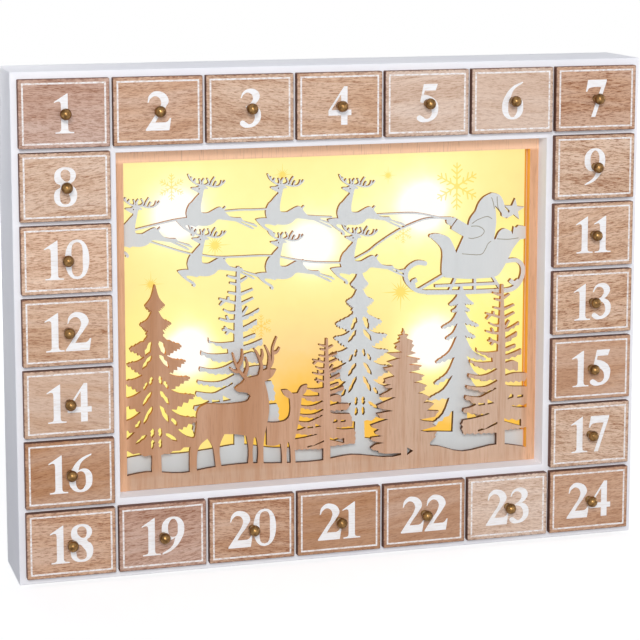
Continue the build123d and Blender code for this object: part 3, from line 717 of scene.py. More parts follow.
def makeInnerBoards():
    # a grid whose lines are the edges of the drawer holes; the holes and the scene are taken out of it
    lines = 2 * calendar["columns"]
    clearSelection()
    bpy.ops.mesh.primitive_grid_add(x_subdivisions=lines - 1, y_subdivisions=lines - 1, size=lines - 1,
                                    rotation=(radians(90), 0, 0))
    grid = bpy.context.object
    applyPlace()
    editPiece(grid)
    last = lines - 2
    mesh = bmesh.from_edit_mesh(grid.data)
    holes = []
    for face in mesh.faces:
        middle = face.calc_center_median()
        column, row = round(middle.x + last / 2), round(middle.z + last / 2)
        inScene = 2 <= column <= last - 2 and 2 <= row <= last - 2
        if inScene or (column % 2 == 0 and row % 2 == 0):
            holes.append(face)
    for corner in mesh.verts:
        column, row = round(corner.co.x + (last + 1) / 2), round(corner.co.z + (last + 1) / 2)
        x = columnX(column // 2) + (cellWidth if column % 2 else -cellWidth) / 2
        z = rowZ(row // 2) + (cellHeight if row % 2 else -cellHeight) / 2
        corner.co = (x * mm, frontY * mm, z * mm)
    bmesh.ops.delete(mesh, geom=holes, context="FACES")
    bmesh.update_edit_mesh(grid.data)
    bpy.ops.mesh.select_all(action="SELECT")
    bpy.ops.mesh.extrude_region_move(TRANSFORM_OT_translate={"value": (0, (backY - frontY) * mm, 0)})
    faceOutward()
    margin = calendar["board"] + slack
    inside = (calendar["width"] / 2 - margin) * mm
    low, high = margin * mm, (calendar["height"] - margin) * mm

    def isRim(edge):
        middle = middleOf(edge)
        onEdge = abs(middle.x) > inside or not low <= middle.z <= high
        sharp = len(edge.link_faces) == 2 and edge.calc_face_angle() > caseLook["sharp"]
        return sharp and not onEdge and middle.y < (frontY + slack) * mm

    selectWhere(grid, "edges", isRim)
    easeEdges(caseLook["innerEdge"], 2)
    leaveEdit()
    piece = joinPieces([grid], "innerBoards")
    smoothPiece(piece)
    setPiece(piece, whitePaint, "case", "white_board", "inner_boards")


makeOuterCase()
makeInnerBoards()
print("case built")


# drawers

drawerShape = {
    "thickness": 4.5, "corner": 0.6, "frontEdge": 0.4, "wall": 2.5, "wallEdge": 0.3, "floor": 2.0,
    "floorEdge": 0.2, "sideGap": 0.6, "headGap": 2.0, "backGap": 3.0,
}


def modelDrawer():
    # one drawer about the middle of its hole
    half, tall = drawerHalf
    face = frontY - drawerShape["thickness"]
    front = addBoard((-half, face, -tall), (half, frontY, tall))
    editPiece(front)
    selectWhere(front, "edges", lambda edge: runsAlong(edge, 1))
    easeEdges(drawerShape["corner"], 3)
    foremost = (face + slack) * mm
    selectWhere(front, "edges", lambda edge: all(corner.co.y < foremost for corner in edge.verts))
    easeEdges(drawerShape["frontEdge"], 3)
    leaveEdit()
    wall, edge, low = drawerShape["wall"], drawerShape["wallEdge"], -cellHeight / 2
    side = cellWidth / 2 - drawerShape["sideGap"]
    high = low + cellHeight - drawerShape["headGap"]
    rear = backY - drawerShape["backGap"]
    boards = [front]
    for left in (-side, side - wall):
        boards.append(addBoard((left, frontY, low), (left + wall, rear, high), edge))
    boards.append(addBoard((wall - side, rear - wall, low), (side - wall, rear, high), edge))
    boards.append(addBoard((wall - side, frontY, low), (side - wall, rear - wall, low + drawerShape["floor"]),
                           drawerShape["floorEdge"]))
    drawer = joinPieces(boards, "drawerPattern")
    smoothPiece(drawer)
    return drawer


def stainOf(number):
    for name, numbers in drawerLook["stock"].items():
        if number in numbers:
            return drawerLook["tones"][name]


def writeBoard(piece, number, x, z):
    # each drawer is cut from its own place in the timber, and its grain leans a little, in no clear order
    mesh = piece.data
    place = mesh.attributes.new("boardPlace", "FLOAT_VECTOR", "POINT")
    for value, corner in zip(place.data, mesh.vertices):
        value.vector = corner.co - Vector((x, 0, z)) * mm
    half = drawerLook["tiltSteps"] // 2
    turn = number * drawerLook["tiltJump"] % drawerLook["tiltSteps"] - half
    lean = drawerLook["tilt"] * turn / half
    for name, kind, field, values in (
            ("boardShift", "FLOAT_VECTOR", "vector", [step * number for step in drawerLook["step"]]),
            ("boardTone", "FLOAT_COLOR", "color", stainOf(number)),
            ("boardTilt", "FLOAT", "value", [lean]),
            ("boardGrain", "FLOAT", "value", [drawerLook["grain"].get(number, 1.0)])):
        layer = mesh.attributes.new(name, kind, "POINT")
        layer.data.foreach_set(field, tuple(values) * len(mesh.vertices))


# numbers: outlines one unit high, each point with 1 where the line runs smoothly through it
digitLines = {
    "0": (((0, .5, 1), (.31, 1.01, 1), (.62, .5, 1), (.31, -.01, 1)), ((.17, .5, 1), (.31, .94, 1),
        (.45, .5, 1), (.31, .06, 1))),
    "1": (((0, .77, 0), (.01, .8, 0), (.33, 1, 0), (.35, 1, 0), (.35, .13, 0), (.37, .06, 1), (.5, .03, 0),
        (.5, 0, 0), (.03, 0, 0), (.03, .03, 0), (.155, .06, 1), (.175, .13, 0), (.175, .72, 0),
        (.15, .79, 1)),),
    "2": (((.05, .71, 0), (.1, .9, 1), (.31, 1, 1), (.59, .79, 1), (.49, .55, 1), (.33, .34, 1),
        (.245, .205, 0), (.51, .205, 0), (.57, .235, 1), (.62, .31, 0), (.655, .31, 0), (.605, 0, 0),
        (0, 0, 0), (0, .035, 0), (.21, .34, 1), (.365, .58, 1), (.395, .74, 1), (.265, .87, 1), (.12, .8, 1),
        (.075, .71, 0)),),
    "3": (((.03, .77, 0), (.1, .92, 1), (.28, 1, 1), (.46, .95, 1), (.535, .81, 1), (.47, .66, 1),
        (.37, .575, 0), (.5, .5, 1), (.567, .33, 1), (.49, .11, 1), (.22, 0, 1), (.05, .05, 1), (.01, .13, 1),
        (.075, .19, 1), (.17, .14, 1), (.26, .09, 1), (.37, .16, 1), (.4, .32, 1), (.33, .46, 1),
        (.17, .52, 0), (.17, .55, 0), (.3, .64, 1), (.355, .77, 1), (.3, .87, 1), (.2, .9, 1), (.11, .85, 1),
        (.06, .76, 0)),),
    "4": (((.423, 1, 0), (.515, 1, 0), (.515, .39, 0), (.62, .39, 0), (.62, .245, 0), (.515, .245, 0),
        (.515, 0, 0), (.342, 0, 0), (.342, .245, 0), (0, .245, 0), (0, .375, 0)), ((.342, .39, 0),
        (.08, .39, 0), (.342, .79, 0))),
    "5": (((.2, 1, 0), (.59, 1, 0), (.53, .83, 0), (.23, .83, 0), (.2, .73, 0), (.42, .66, 1), (.58, .5, 1),
        (.605, .33, 1), (.52, .11, 1), (.25, 0, 1), (.06, .04, 1), (.01, .12, 1), (.08, .185, 1),
        (.17, .15, 1), (.27, .09, 1), (.38, .13, 1), (.425, .29, 1), (.34, .45, 1), (.1, .53, 0)),),
    "6": (((.58, 1, 0), (.3, .88, 1), (.08, .62, 1), (0, .36, 1), (.07, .1, 1), (.29, 0, 1), (.53, .1, 1),
        (.6, .33, 1), (.54, .54, 1), (.38, .62, 1), (.24, .57, 0), (.32, .78, 1), (.585, .965, 0)),
        ((.29, .06, 1), (.4, .15, 1), (.43, .33, 1), (.38, .51, 1), (.29, .55, 1), (.2, .5, 1),
        (.175, .35, 1), (.2, .14, 1))),
    "7": (((.06, 1, 0), (.6, 1, 0), (.6, .955, 0), (.285, 0, 0), (.165, 0, 0), (.44, .8, 0), (.2, .8, 1),
        (.09, .77, 1), (.035, .68, 0), (0, .69, 0)),),
    "8": (((.29, 1, 1), (.5, .93, 1), (.56, .78, 1), (.5, .64, 1), (.43, .575, 1), (.54, .46, 1),
        (.585, .28, 1), (.5, .07, 1), (.285, 0, 1), (.07, .07, 1), (0, .26, 1), (.05, .42, 1), (.17, .52, 1),
        (.05, .62, 1), (.015, .78, 1), (.08, .93, 1)), ((.295, .94, 1), (.395, .88, 1), (.42, .77, 1),
        (.36, .635, 1), (.22, .7, 1), (.175, .8, 1), (.2, .9, 1)), ((.285, .06, 1), (.39, .1, 1),
        (.415, .2, 1), (.34, .36, 1), (.2, .465, 1), (.155, .36, 1), (.15, .22, 1), (.19, .1, 1))),
}
digitWidths = {
    "0": .62, "1": .51, "2": .655, "3": .57, "4": .62, "5": .605, "6": .6, "7": .6, "8": .585, "9": .6,
}
markShape = {"height": 23.5, "gap": 0.5, "inset": 2.1, "line": 1.05, "paint": 0.1, "curve": 6}


def flatShape(name, loops):
    # closed lines filled as one flat curve, then made a mesh that faces the front
    curve = bpy.data.curves.new(name, "CURVE")
    curve.dimensions = "2D"
    curve.fill_mode = "BOTH"
    curve.resolution_u = markShape["curve"]
    scale = markShape["height"] * mm
    for loop in loops:
        line = curve.splines.new("BEZIER")
        line.bezier_points.add(len(loop) - 1)
        for point, (x, y, smooth) in zip(line.bezier_points, loop):
            kind = "AUTO" if smooth else "VECTOR"
            point.handle_left_type = point.handle_right_type = kind
            point.co = (x * scale, y * scale, 0)
        line.use_cyclic_u = True
    curve.extrude = markShape["paint"] / 2 * mm
    piece = bpy.data.objects.new(name, curve)
    bpy.context.scene.collection.objects.link(piece)
    pick(piece)
    bpy.ops.object.convert(target="MESH")
    piece = bpy.context.object
    piece.rotation_euler = (radians(90), 0, 0)
    applyPlace()
    editPiece(piece)
    bpy.ops.mesh.remove_doubles(threshold=1e-6)
    faceOutward()
    leaveEdit()
    return piece


def modelDigits():
    # the nine is the six, turned
    turned = [[(digitWidths["9"] - x, 1 - y, smooth) for x, y, smooth in loop] for loop in digitLines["6"]]
    return {digit: flatShape("digit" + digit, loops) for digit, loops in {**digitLines, "9": turned}.items()}


def modelBorder():
    # a thin painted frame near the edge of a drawer front
    half, tall = (side - markShape["inset"] for side in drawerHalf)
    paint = markShape["paint"] / 2
    border = addBoard((-half, -paint, -tall), (half, paint, tall))
    editPiece(border)
    selectWhere(border, "faces", isUpright)
    bpy.ops.mesh.inset(thickness=markShape["line"] * mm)
    bpy.ops.mesh.bridge_edge_loops()
    leaveEdit()
    return border


# the collar and neck as radius and distance from the drawer front, then a ball that starts at an angle
knobShape = {
    "sides": 28, "turned": ((2.4, 0.0), (2.4, 0.55), (2.25, 0.8), (1.75, 1.0), (1.4, 1.5), (1.4, 2.3)),
    "ball": 3.5, "reach": 9.27, "bands": 12, "start": 26, "smooth": 50,
}


def knobRings():
    rings, ball, start = list(knobShape["turned"]), knobShape["ball"], radians(knobShape["start"])
    centre = knobShape["reach"] - ball
    for band in range(knobShape["bands"]):
        angle = start + (pi - start) * band / knobShape["bands"]
        rings.append((ball * sin(angle), centre - ball * cos(angle)))
    return rings


def modelKnob():
    rings = knobRings()
    clearSelection()
    radius, reach = rings[0]
    bpy.ops.mesh.primitive_circle_add(vertices=knobShape["sides"], radius=radius * mm, fill_type="NGON",
                                      rotation=(radians(90), 0, 0))
    knob = bpy.context.object
    knob.name = "knobPattern"
    applyPlace()
    editPiece(knob)
    for nextRadius, nextReach in rings[1:]:
        bpy.ops.mesh.extrude_region_move(TRANSFORM_OT_translate={"value": (0, (reach - nextReach) * mm, 0)})
        grow = nextRadius / radius
        bpy.ops.transform.resize(value=(grow, 1, grow), center_override=(0, -nextReach * mm, 0))
        radius, reach = nextRadius, nextReach
    crown = (0, (reach - knobShape["reach"]) * mm, 0)
    bpy.ops.mesh.extrude_region_move(TRANSFORM_OT_translate={"value": crown})
    bpy.ops.mesh.merge(type="CENTER")
    faceOutward()
    leaveEdit()
    smoothPiece(knob, knobShape["smooth"])
    return knob


def makeDrawers():
    drawer, border, knob, digits = modelDrawer(), modelBorder(), modelKnob(), modelDigits()
    faceY = frontY - drawerShape["thickness"]
    paintY = faceY - markShape["paint"] / 2
    for number, (column, row) in enumerate(drawerCells, start=1):
        name, body = f"{number:02d}", f"drawer_{number:02d}_body"
        x, z = columnX(column), rowZ(row)
        box = copyPiece(drawer, "drawerBox" + name, (x, 0, z))
        writeBoard(box, number, x, z)
        setPiece(box, drawerWood, body, "drawer_wood", "drawer_" + name)
        marks = [copyPiece(border, "mark", (x, paintY, z))]
        widths = [digitWidths[figure] * markShape["height"] for figure in str(number)]
        left = x - (sum(widths) + markShape["gap"] * (len(widths) - 1)) / 2
        for figure, width in zip(str(number), widths):
            marks.append(copyPiece(digits[figure], "mark", (left, paintY, z - markShape["height"] / 2)))
            left += width + markShape["gap"]
        mark = joinPieces(marks, "drawerMark" + name)
        writeBoard(mark, number, x, z)
        setPiece(mark, markPaint, body, "white_board")
        ball = copyPiece(knob, "ballKnob" + name, (x, faceY, z))
        setPiece(ball, antiqueBrass, body, "knob_brass", "knob_" + name)
    discard(drawer, border, knob, *digits.values())


makeDrawers()
print("drawers built")


# fretwork: outlines are laid over each other and cut from one sheet

fretwork = {
    "thickness": 3.0, "ink": 0.04, "border": 5.6, "leftBorder": 6.7, "head": 7.8, "clearance": 0.2,
    "frontY": -12.0, "middleY": -6.0, "sheetY": -3.0, "tiny": 0.02, "roundSides": 6,
}
wholeScene = (0, 0, 1, 1)
# a tooth's crest and the dent after it: ranges of the place along the tooth and of the height
toothShape = (((0.1, 0.4), (0.5, 1.1)), ((0.6, 0.9), (0.0, -0.25)))
leafSwell = ((0.14, 0.7), (0.32, 1.0), (0.5, 0.8), (0.68, 1.0), (0.86, 0.55))
leafRange = {"near": (0.8, 1.25), "far": (0.6, 1.25)}


def spot(across, up, box=wholeScene):
    # a point of the scene in millimetres, from shares of a box in it
    left, low, wide, high = box
    return Vector(scenePoint(left + wide * across, low + high * up))


def flowing(points, steps=4):
    # a smooth line through all the points
    line = []
    ends = [points[0], *points, points[-1]]
    for before, start, end, after in zip(ends, ends[1:], ends[2:], ends[3:]):
        turn = 2 * before - 5 * start + 4 * end - after
        curl = 3 * start - before - 3 * end + after
        for step in range(steps):
            t = step / steps
            bend = turn * t + curl * t * t
            line.append(start + (end - before + bend) * (t / 2))
    return line + [points[-1]]


def outline(box, runs):
    # runs that meet at corners; each starts where the last one ended
    line = []
    for run in runs:
        points = line[-1:] + [spot(*share, box) for share in run]
        line += (flowing(points) if len(points) > 2 else points)[1 if line else 0:]
    return line


def leftOf(along):
    return Vector((-along.y, along.x)).normalized()


def strip(points, root, tip):
    # a strip that tapers from its root to its tip
    line = flowing(points) if len(points) > 2 else points
    left, right = [], []
    for index, point in enumerate(line):
        ahead = line[min(index + 1, len(line) - 1)] - line[max(index - 1, 0)]
        side = leftOf(ahead) * (root + (tip - root) * index / (len(line) - 1)) / 2
        left.append(point + side)
        right.insert(0, point - side)
    return left + right


def strips(lines, box, widths):
    return [strip([spot(*share, box) for share in line], *widths) for line in lines]


def ragged(start, end, teeth, depth, dice):
    # small teeth along a cut, to the left of its direction
    along = end - start
    side = leftOf(along)
    line = []
    for tooth in range(teeth):
        for place, height in toothShape:
            foot = start + along * ((tooth + dice.uniform(*place)) / teeth)
            line.append(foot + side * depth * dice.uniform(*height))
    return line


def mirrored(points, middle, side):
    return [Vector((middle + side * point.x, point.y)) for point in points]


def leafSlot(start, end, width, dice):
    # a ragged leaf-shaped cut between two points
    along = end - start
    side = leftOf(along) * width / 2
    near, far = [], []
    for share, swell in leafSwell:
        near.append(start + along * share + side * swell * dice.uniform(*leafRange["near"]))
        far.insert(0, start + along * share - side * swell * dice.uniform(*leafRange["far"]))
    return [start, *near, end, *far]


# firs: each tier's tip and the notch under it, as reach from the trunk and drop from the top
firTiers = (
    (6.3, 12.4, 2.1, 16.2), (9.9, 24, 4.6, 28.2), (16.4, 38.6, 7, 44.4), (18.6, 48, 8.3, 55.6),
    (21.2, 58.8, 9.4, 65.8), (23.8, 70.2, 9.6, 78.6), (27.2, 85.2, 13.6, 91.2), (30.5, 99, 2.8, 106.4),
)
firSlots = (
    ((4.8, 30.6), (9.6, 35), 2.6), ((2.5, 34.8), (6, 43.6), 3.4), ((2.3, 43.4), (8.4, 52), 2.6), ((2.2, 56.6),
    (3.5, 62.2), 2.1), ((5.1, 60), (7.6, 65.2), 2.2), ((2.5, 66), (8.4, 75), 2.7), ((2.2, 75.2), (8, 86.4),
    2.9), ((9.6, 83.6), (13, 88.6), 2.4), ((2.2, 89.2), (2.6, 95.4), 2.4), ((2.2, 96.2), (2.6, 102.4), 2.4),
    ((5.8, 93), (13.2, 98.6), 2.6),
)
spruceTiers = (
    (8.5, 12.2, 2.3, 12.4), (6.2, 16.6, 2.4, 16.8), (12.4, 26.8, 2.4, 25.2), (9.8, 34.2, 2.8, 33.4),
    (17.4, 49.2, 4.2, 47), (18.4, 63, 5.4, 58.8), (22.2, 73, 7.4, 73.2), (20, 90, 4.9, 82),
)
tierShape = {
    "spread": (0.94, 1.04), "sag": (0.36, 0.62), "curve": 3, "tipTeeth": 2, "tipRag": 0.4,
    "blunt": ((0.3, 1.2), (1.2, 0.9)), "flare": 1.15, "top": 0.4, "lap": -0.2,
}


def tieredTree(tiers, middle, top, foot, trunk, teeth, rag, seed, scale=1.0):
    # drooping tiers with blunt ragged tips, the two sides cut a little differently
    halves, lap = [], tierShape["lap"]
    for side in (-1, 1):
        dice = Random(seed + side)
        last = Vector((tierShape["top"], top))
        path = [last]
        for tier, (tip, drop, notch, notchDrop) in enumerate(tiers):
            reach = Vector((tip * scale * dice.uniform(*tierShape["spread"]), top - drop * scale))
            back = Vector((notch * scale, top - notchDrop * scale))
            across, down = tierShape["sag"]
            sag = Vector((last.x + across * (reach.x - last.x), last.y - down * (last.y - reach.y)))
            upper = flowing([last, sag, reach], tierShape["curve"])
            path += upper[1:-2]
            if tier > 0:
                path += ragged(upper[-3], reach, tierShape["tipTeeth"], tierShape["tipRag"] * rag, dice)
            path += [reach, *(reach - Vector(corner) for corner in tierShape["blunt"])]
            path += ragged(path[-1], back, teeth, rag, dice)
            path.append(back)
            last = back
        path += [Vector((trunk, last.y)), Vector((trunk * tierShape["flare"], foot))]
        halves.append(mirrored([Vector((lap, top)), *path, Vector((lap, foot))], middle, side))
    return halves


def treeSlots(slots, middle, top, seed, scale=1.0):
    cuts = []
    for side in (-1, 1):
        dice = Random(seed + side)
        for start, end, width in slots:
            ends = [Vector((x * scale, top - drop * scale)) for x, drop in (start, end)]
            cuts.append(mirrored(leafSlot(*ends, width, dice), middle, side))
    return cuts


# a dense spruce, each side from the top down: reach from the trunk and drop from the top
denseSides = {
    -1: ((0, 0), (.5, 2.3), (1.2, 2.5), (.4, 3.8), (3.3, 4.3), (2, 5.8), (3.5, 6.9), (2.2, 8.2), (6, 9.8),
        (4.3, 11), (5.4, 12.7), (3.1, 14), (.5, 15.1), (5.5, 15.2), (10.6, 15.2), (8.4, 16.6), (6.7, 17.4),
        (5, 18.4), (1.6, 18.7), (6.1, 19.7), (10.6, 20.9), (9, 22), (6.5, 23.8), (9.8, 24.3), (13, 24.7),
        (11.9, 26), (10, 26.5), (5.7, 30.4), (9.8, 31.2), (12.5, 31.9), (11.9, 33.4), (13, 34.6), (8.1, 35.5),
        (12.7, 36.4), (11.5, 37.4), (6.8, 38), (9.8, 39.8), (15.5, 42.1), (14.7, 43.1), (12, 43.6),
        (4.6, 43.9), (9.8, 45.7), (17.5, 48.4), (16.7, 49.9), (14.1, 50.9), (6.5, 52.7), (12.2, 53.2),
        (17.6, 53.8), (16.1, 55.4), (15.3, 56.9), (9.8, 58), (15.3, 59.3), (21.5, 61.1), (20.5, 62.6),
        (15.9, 64.3), (18.8, 65.7), (18.1, 67.2), (13.7, 68.6), (20.8, 69), (21.8, 70.1), (20, 71.4),
        (12.7, 73.1), (18.6, 73.9), (21.6, 75.9), (20, 77.2), (16.6, 78), (16.3, 79.1), (12, 80.2),
        (1.2, 80.6)),
    1: ((0, 0), (1, 2.2), (.5, 3.5), (3.4, 4.1), (2, 5.6), (2.6, 6.7), (6.4, 8.2), (5.5, 9.9), (7.3, 11),
        (5.7, 12.9), (5, 14.8), (8.4, 16.2), (1.7, 17.8), (5.5, 18.8), (11.5, 20.2), (9, 21.3), (9.8, 22.3),
        (3.5, 23.3), (7.8, 24), (12.6, 24.7), (10.4, 26), (11, 27.1), (3.3, 28.4), (8.6, 29.3), (14.3, 31.1),
        (12.2, 32.3), (12.8, 33.8), (6.6, 35.2), (11, 35.7), (16.1, 37.8), (14.2, 39), (14.7, 40.4),
        (9.5, 42.3), (13.4, 43), (18, 45.4), (16.4, 46.5), (13.4, 49), (17.7, 48.8), (20.9, 49.9),
        (19.3, 51.3), (16, 54), (19.6, 54.4), (24.3, 54.9), (22.6, 56.5), (21.5, 58.4), (10.8, 59.7),
        (15.3, 61), (20.9, 61.8), (19.8, 63.4), (22.6, 64.6), (11.5, 66.8), (15.9, 68), (23, 68.2),
        (21.4, 70.4), (22.2, 71.6), (18.3, 74.9)),
}
denseHole = ((2.8, 77.2), (7, 79.7), (2.8, 82.3))


def denseSpruce(middle, top, foot):
    shapes = []
    for side, line in denseSides.items():
        points = [Vector((reach, top - drop)) for reach, drop in line]
        ends = [(points[-1].x, foot), (tierShape["lap"], foot), (tierShape["lap"], top)]
        shapes.append(mirrored([*points, *map(Vector, ends)], middle, side))
    hole = [Vector((middle + reach, top - drop)) for reach, drop in denseHole]
    return shapes, [hole]


# one airy conifer for three places: reach from the trunk and drop from the top, as shares of its size
sprayTrunk = ((.008, 0), (.012, .15), (.021, .3), (.024, .45), (.026, 1))
sprayTwigs = {
    -1: (((0, .066), (.03, .06), (.057, .049)), ((0, .102), (.045, .09)), ((0, .157), (.053, .142)),
        ((0, .21), (.049, .193), (.1, .176)), ((.053, .195), (.052, .167)), ((.072, .187), (.097, .214)),
        ((.01, .258), (.045, .256), (.077, .239)), ((.01, .306), (.055, .303), (.1, .288)), ((.05, .303),
        (.062, .273)), ((.01, .376), (.045, .357), (.084, .351)), ((.05, .359), (.066, .379)), ((.06, .353),
        (.072, .335))),
    1: (((.01, .085), (.047, .062)), ((.01, .158), (.045, .144), (.077, .131)), ((.01, .214), (.079, .181)),
        ((.02, .274), (.048, .228))),
}
# branches with a fringe below: thickness at the root and at the tip, then the upper edge
sprayBranches = {
    -1: (),
    1: ((.02, .014, ((.02, .283), (.062, .268), (.109, .241))), (.028, .022, ((.02, .344), (.06, .325),
        (.097, .304))), (.02, .016, ((.02, .407), (.06, .392), (.089, .383))), (.026, .03, ((.02, .451),
        (.07, .437), (.125, .415))), (.032, .05, ((.02, .5), (.07, .486), (.105, .5)))),
}
# the full lower part: each branch by its upper edge, then its fringe back to the trunk
sprayRows = {
    -1: ((((.02, .421), (.09, .424), (.145, .413), (.157, .391)), ((.158, .412), (.057, .462))),
        (((.055, .486), (.12, .486), (.167, .478), (.195, .462)), ((.198, .477), (.11, .531), (.035, .527))),
        (((.025, .534), (.08, .561), (.14, .569), (.203, .553)), ((.207, .567), (.13, .597), (.03, .6))),
        (((.022, .608), (.09, .64), (.16, .64), (.215, .626)), ((.219, .641), (.1, .674), (.035, .65))),
        (((.03, .658), (.09, .688), (.14, .706), (.222, .69)), ((.227, .706), (.157, .748))), (((.157, .752),
        (.19, .766), (.233, .772)), ((.238, .79), (.15, .812), (.073, .812))), (((.073, .818), (.15, .835),
        (.236, .845)), ((.242, .862), (.236, .93), (.03, .94)))),
    1: ((((.02, .581), (.08, .566), (.162, .57)), ((.166, .59), (.15, .618), (.022, .618))), (((.022, .63),
        (.054, .648), (.172, .658)), ((.178, .678), (.19, .765), (.068, .772))), (((.068, .778), (.12, .79),
        (.2, .79)), ((.206, .808), (.21, .915), (.022, .925)))),
}
sprayHoles = {
    -1: (((.143, .74), (.12, .746), (.105, .743), (.099, .757), (.142, .76)), ((.085, .722), (.06, .738),
        (.04, .75), (.085, .756)), ((.144, .912), (.12, .906), (.1, .91), (.07, .893), (.021, .87),
        (.021, .884), (.08, .908), (.144, .925))),
    1: (((.06, .696), (.079, .705), (.078, .722), (.04, .731)), ((.105, .708), (.141, .708), (.138, .724),
        (.101, .727)), ((.022, .85), (.05, .866), (.07, .856), (.1, .872), (.129, .862), (.129, .909),
        (.07, .889), (.022, .872))),
}
sprayLine = {"root": 0.017, "tip": 0.011, "fringe": 0.009, "tooth": 3.4, "curve": 3, "lap": -0.2}


def sprayTree(middle, top, tall, wide, foot, seed):
    # bare twigs at the top, hanging branches with a ragged fringe below, and the cuts in its lower part
    def at(shares):
        return [Vector((across * wide, top - drop * tall)) for across, drop in shares]

    def fringe(points, dice):
        line = [points[0]]
        for start, end in zip(points, points[1:]):
            teeth = max(2, int((end - start).length / sprayLine["tooth"]))
            line += [*ragged(start, end, teeth, sprayLine["fringe"] * tall, dice), end]
        return line

    shapes, cuts, lap = [], [], sprayLine["lap"]
    for side in (-1, 1):
        dice = Random(seed + side)
        bark = at(sprayTrunk)
        parts = [[Vector((lap, top)), *bark, Vector((bark[-1].x, foot)), Vector((lap, foot))]]
        for twig in sprayTwigs[side]:
            parts.append(strip(at(twig), sprayLine["root"] * tall, sprayLine["tip"] * tall))
        for root, tip, edge in sprayBranches[side]:
            upper = flowing(at(edge))
            ends = [upper[-1] - Vector((0, tip * tall)), upper[0] - Vector((0, root * tall))]
            parts.append([*upper, *fringe(ends, dice)])
        firstEdge = at(sprayRows[side][0][0])
        skirt = [Vector((lap, firstEdge[0].y))]
        for edge, under in sprayRows[side]:
            skirt += flowing(at(edge), sprayLine["curve"])
            skirt += fringe(at(under), dice)
        skirt.append(Vector((lap, skirt[-1].y)))
        shapes += [mirrored(part, middle, side) for part in [*parts, skirt]]
        cuts += [mirrored(at(hole), middle, side) for hole in sprayHoles[side]]
    return shapes, cuts


# animals and sleigh, as shares of their own boxes
herdBox = (0.1675, 0.0457, 0.290, 0.379)
stagRuns = (
    ((.06, .44), (.08, .495), (.14, .525)), ((.275, .512), (.41, .515)), ((.465, .525), (.492, .565)),
    ((.462, .59), (.425, .598), (.388, .605), (.368, .625), (.385, .648), (.425, .672)), ((.45, .705),),
    ((.55, .72),), ((.6, .762), (.7, .762)), ((.665, .705), (.605, .67)), ((.632, .56), (.64, .43),
    (.605, .25)), ((.592, .14), (.595, -.02)), ((.54, -.02),), ((.55, .125), (.535, .225), (.515, .225)),
    ((.505, .11), (.512, -.02)), ((.462, -.02),), ((.474, .125), (.455, .25)), ((.365, .268), (.28, .275)),
    ((.243, .19), (.243, .1), (.262, -.02)), ((.212, -.02),), ((.2, .1), (.186, .18), (.145, .25)),
    ((.085, .2), (.06, .12), (.058, -.02)), ((.002, -.02),), ((.002, .1), (.008, .185), (.045, .275)),
    ((.058, .355), (.06, .44)),
)
stagAntlers = (
    ((.475, .69), (.42, .745), (.378, .82), (.352, .91)), ((.412, .765), (.368, .765), (.33, .795)),
    ((.392, .8), (.425, .86), (.428, .935)), ((.445, .725), (.47, .8), (.455, .87)), ((.535, .69),
    (.605, .735), (.668, .82), (.672, .93), (.705, 1.02)), ((.565, .71), (.582, .8), (.545, .9), (.52, .935)),
    ((.64, .775), (.645, .87), (.61, .955)), ((.672, .89), (.706, .9), (.728, .935)), ((.57, .83), (.59, .88),
    (.585, .925)),
)
doeRuns = (
    ((.62, .345), (.7, .338), (.765, .346)), ((.8, .375), (.812, .44), (.806, .52)), ((.768, .545),
    (.742, .592)), ((.79, .592), (.832, .56)), ((.872, .56),), ((.905, .612), (.952, .625)), ((.94, .57),
    (.905, .535)), ((.885, .36), (.848, .195)), ((.848, .1), (.855, -.02)), ((.815, -.02),), ((.812, .1),
    (.8, .17), (.79, .17)), ((.78, .08), (.786, -.02)), ((.742, -.02),), ((.742, .09), (.732, .165)),
    ((.68, .152), (.62, .16)),
)
reindeerSize = (0.174, 0.227)
reindeerPlaces = (
    (.1349, .7346), (.3171, .7275), (.485, .7174), (-.0142, .682), (.1362, .5861), (.3165, .5656),
    (.4926, .5699),
)
reindeerRuns = (
    ((.275, .624), (.273, .636), (.289, .643), (.344, .643)), ((.385, .663),), ((.393, .677), (.426, .679),
    (.447, .66)), ((.491, .628),), ((.483, .614),), ((.442, .612), (.421, .533), (.398, .422), (.394, .35)),
    ((.404, .318), (.44, .308), (.492, .309), (.547, .336), (.598, .362)), ((.638, .375), (.667, .371)),
    ((.687, .354),), ((.72, .385),), ((.729, .374),), ((.703, .342),), ((.71, .32), (.745, .276),
    (.786, .245), (.852, .229)), ((.927, .226),), ((.956, .189), (1.034, .16), (1.105, .139)),
    ((1.144, .108),), ((1.124, .096),), ((1.093, .113), (1.018, .142), (.944, .174)), ((.91, .177),),
    ((1.001, .133), (1.068, .102)), ((1.103, .076),), ((1.076, .07),), ((.985, .115), (.91, .153),
    (.852, .183)), ((.778, .195), (.704, .208), (.638, .218)), ((.605, .211), (.564, .173), (.506, .148),
    (.441, .141), (.359, .151)), ((.326, .135),), ((.269, .152), (.199, .163)), ((.189, .15),), ((.205, .128),
    (.256, .094), (.291, .072)), ((.314, .034),), ((.299, .006),), ((.268, .021),), ((.271, .041),
    (.241, .064), (.187, .102), (.134, .15)), ((.078, .215),), ((.075, .228),), ((.106, .236), (.163, .241),
    (.219, .24)), ((.207, .283), (.206, .327), (.221, .382), (.249, .431)), ((.282, .458), (.328, .51),
    (.376, .556)), ((.372, .571),), ((.344, .581), (.303, .605)),
)
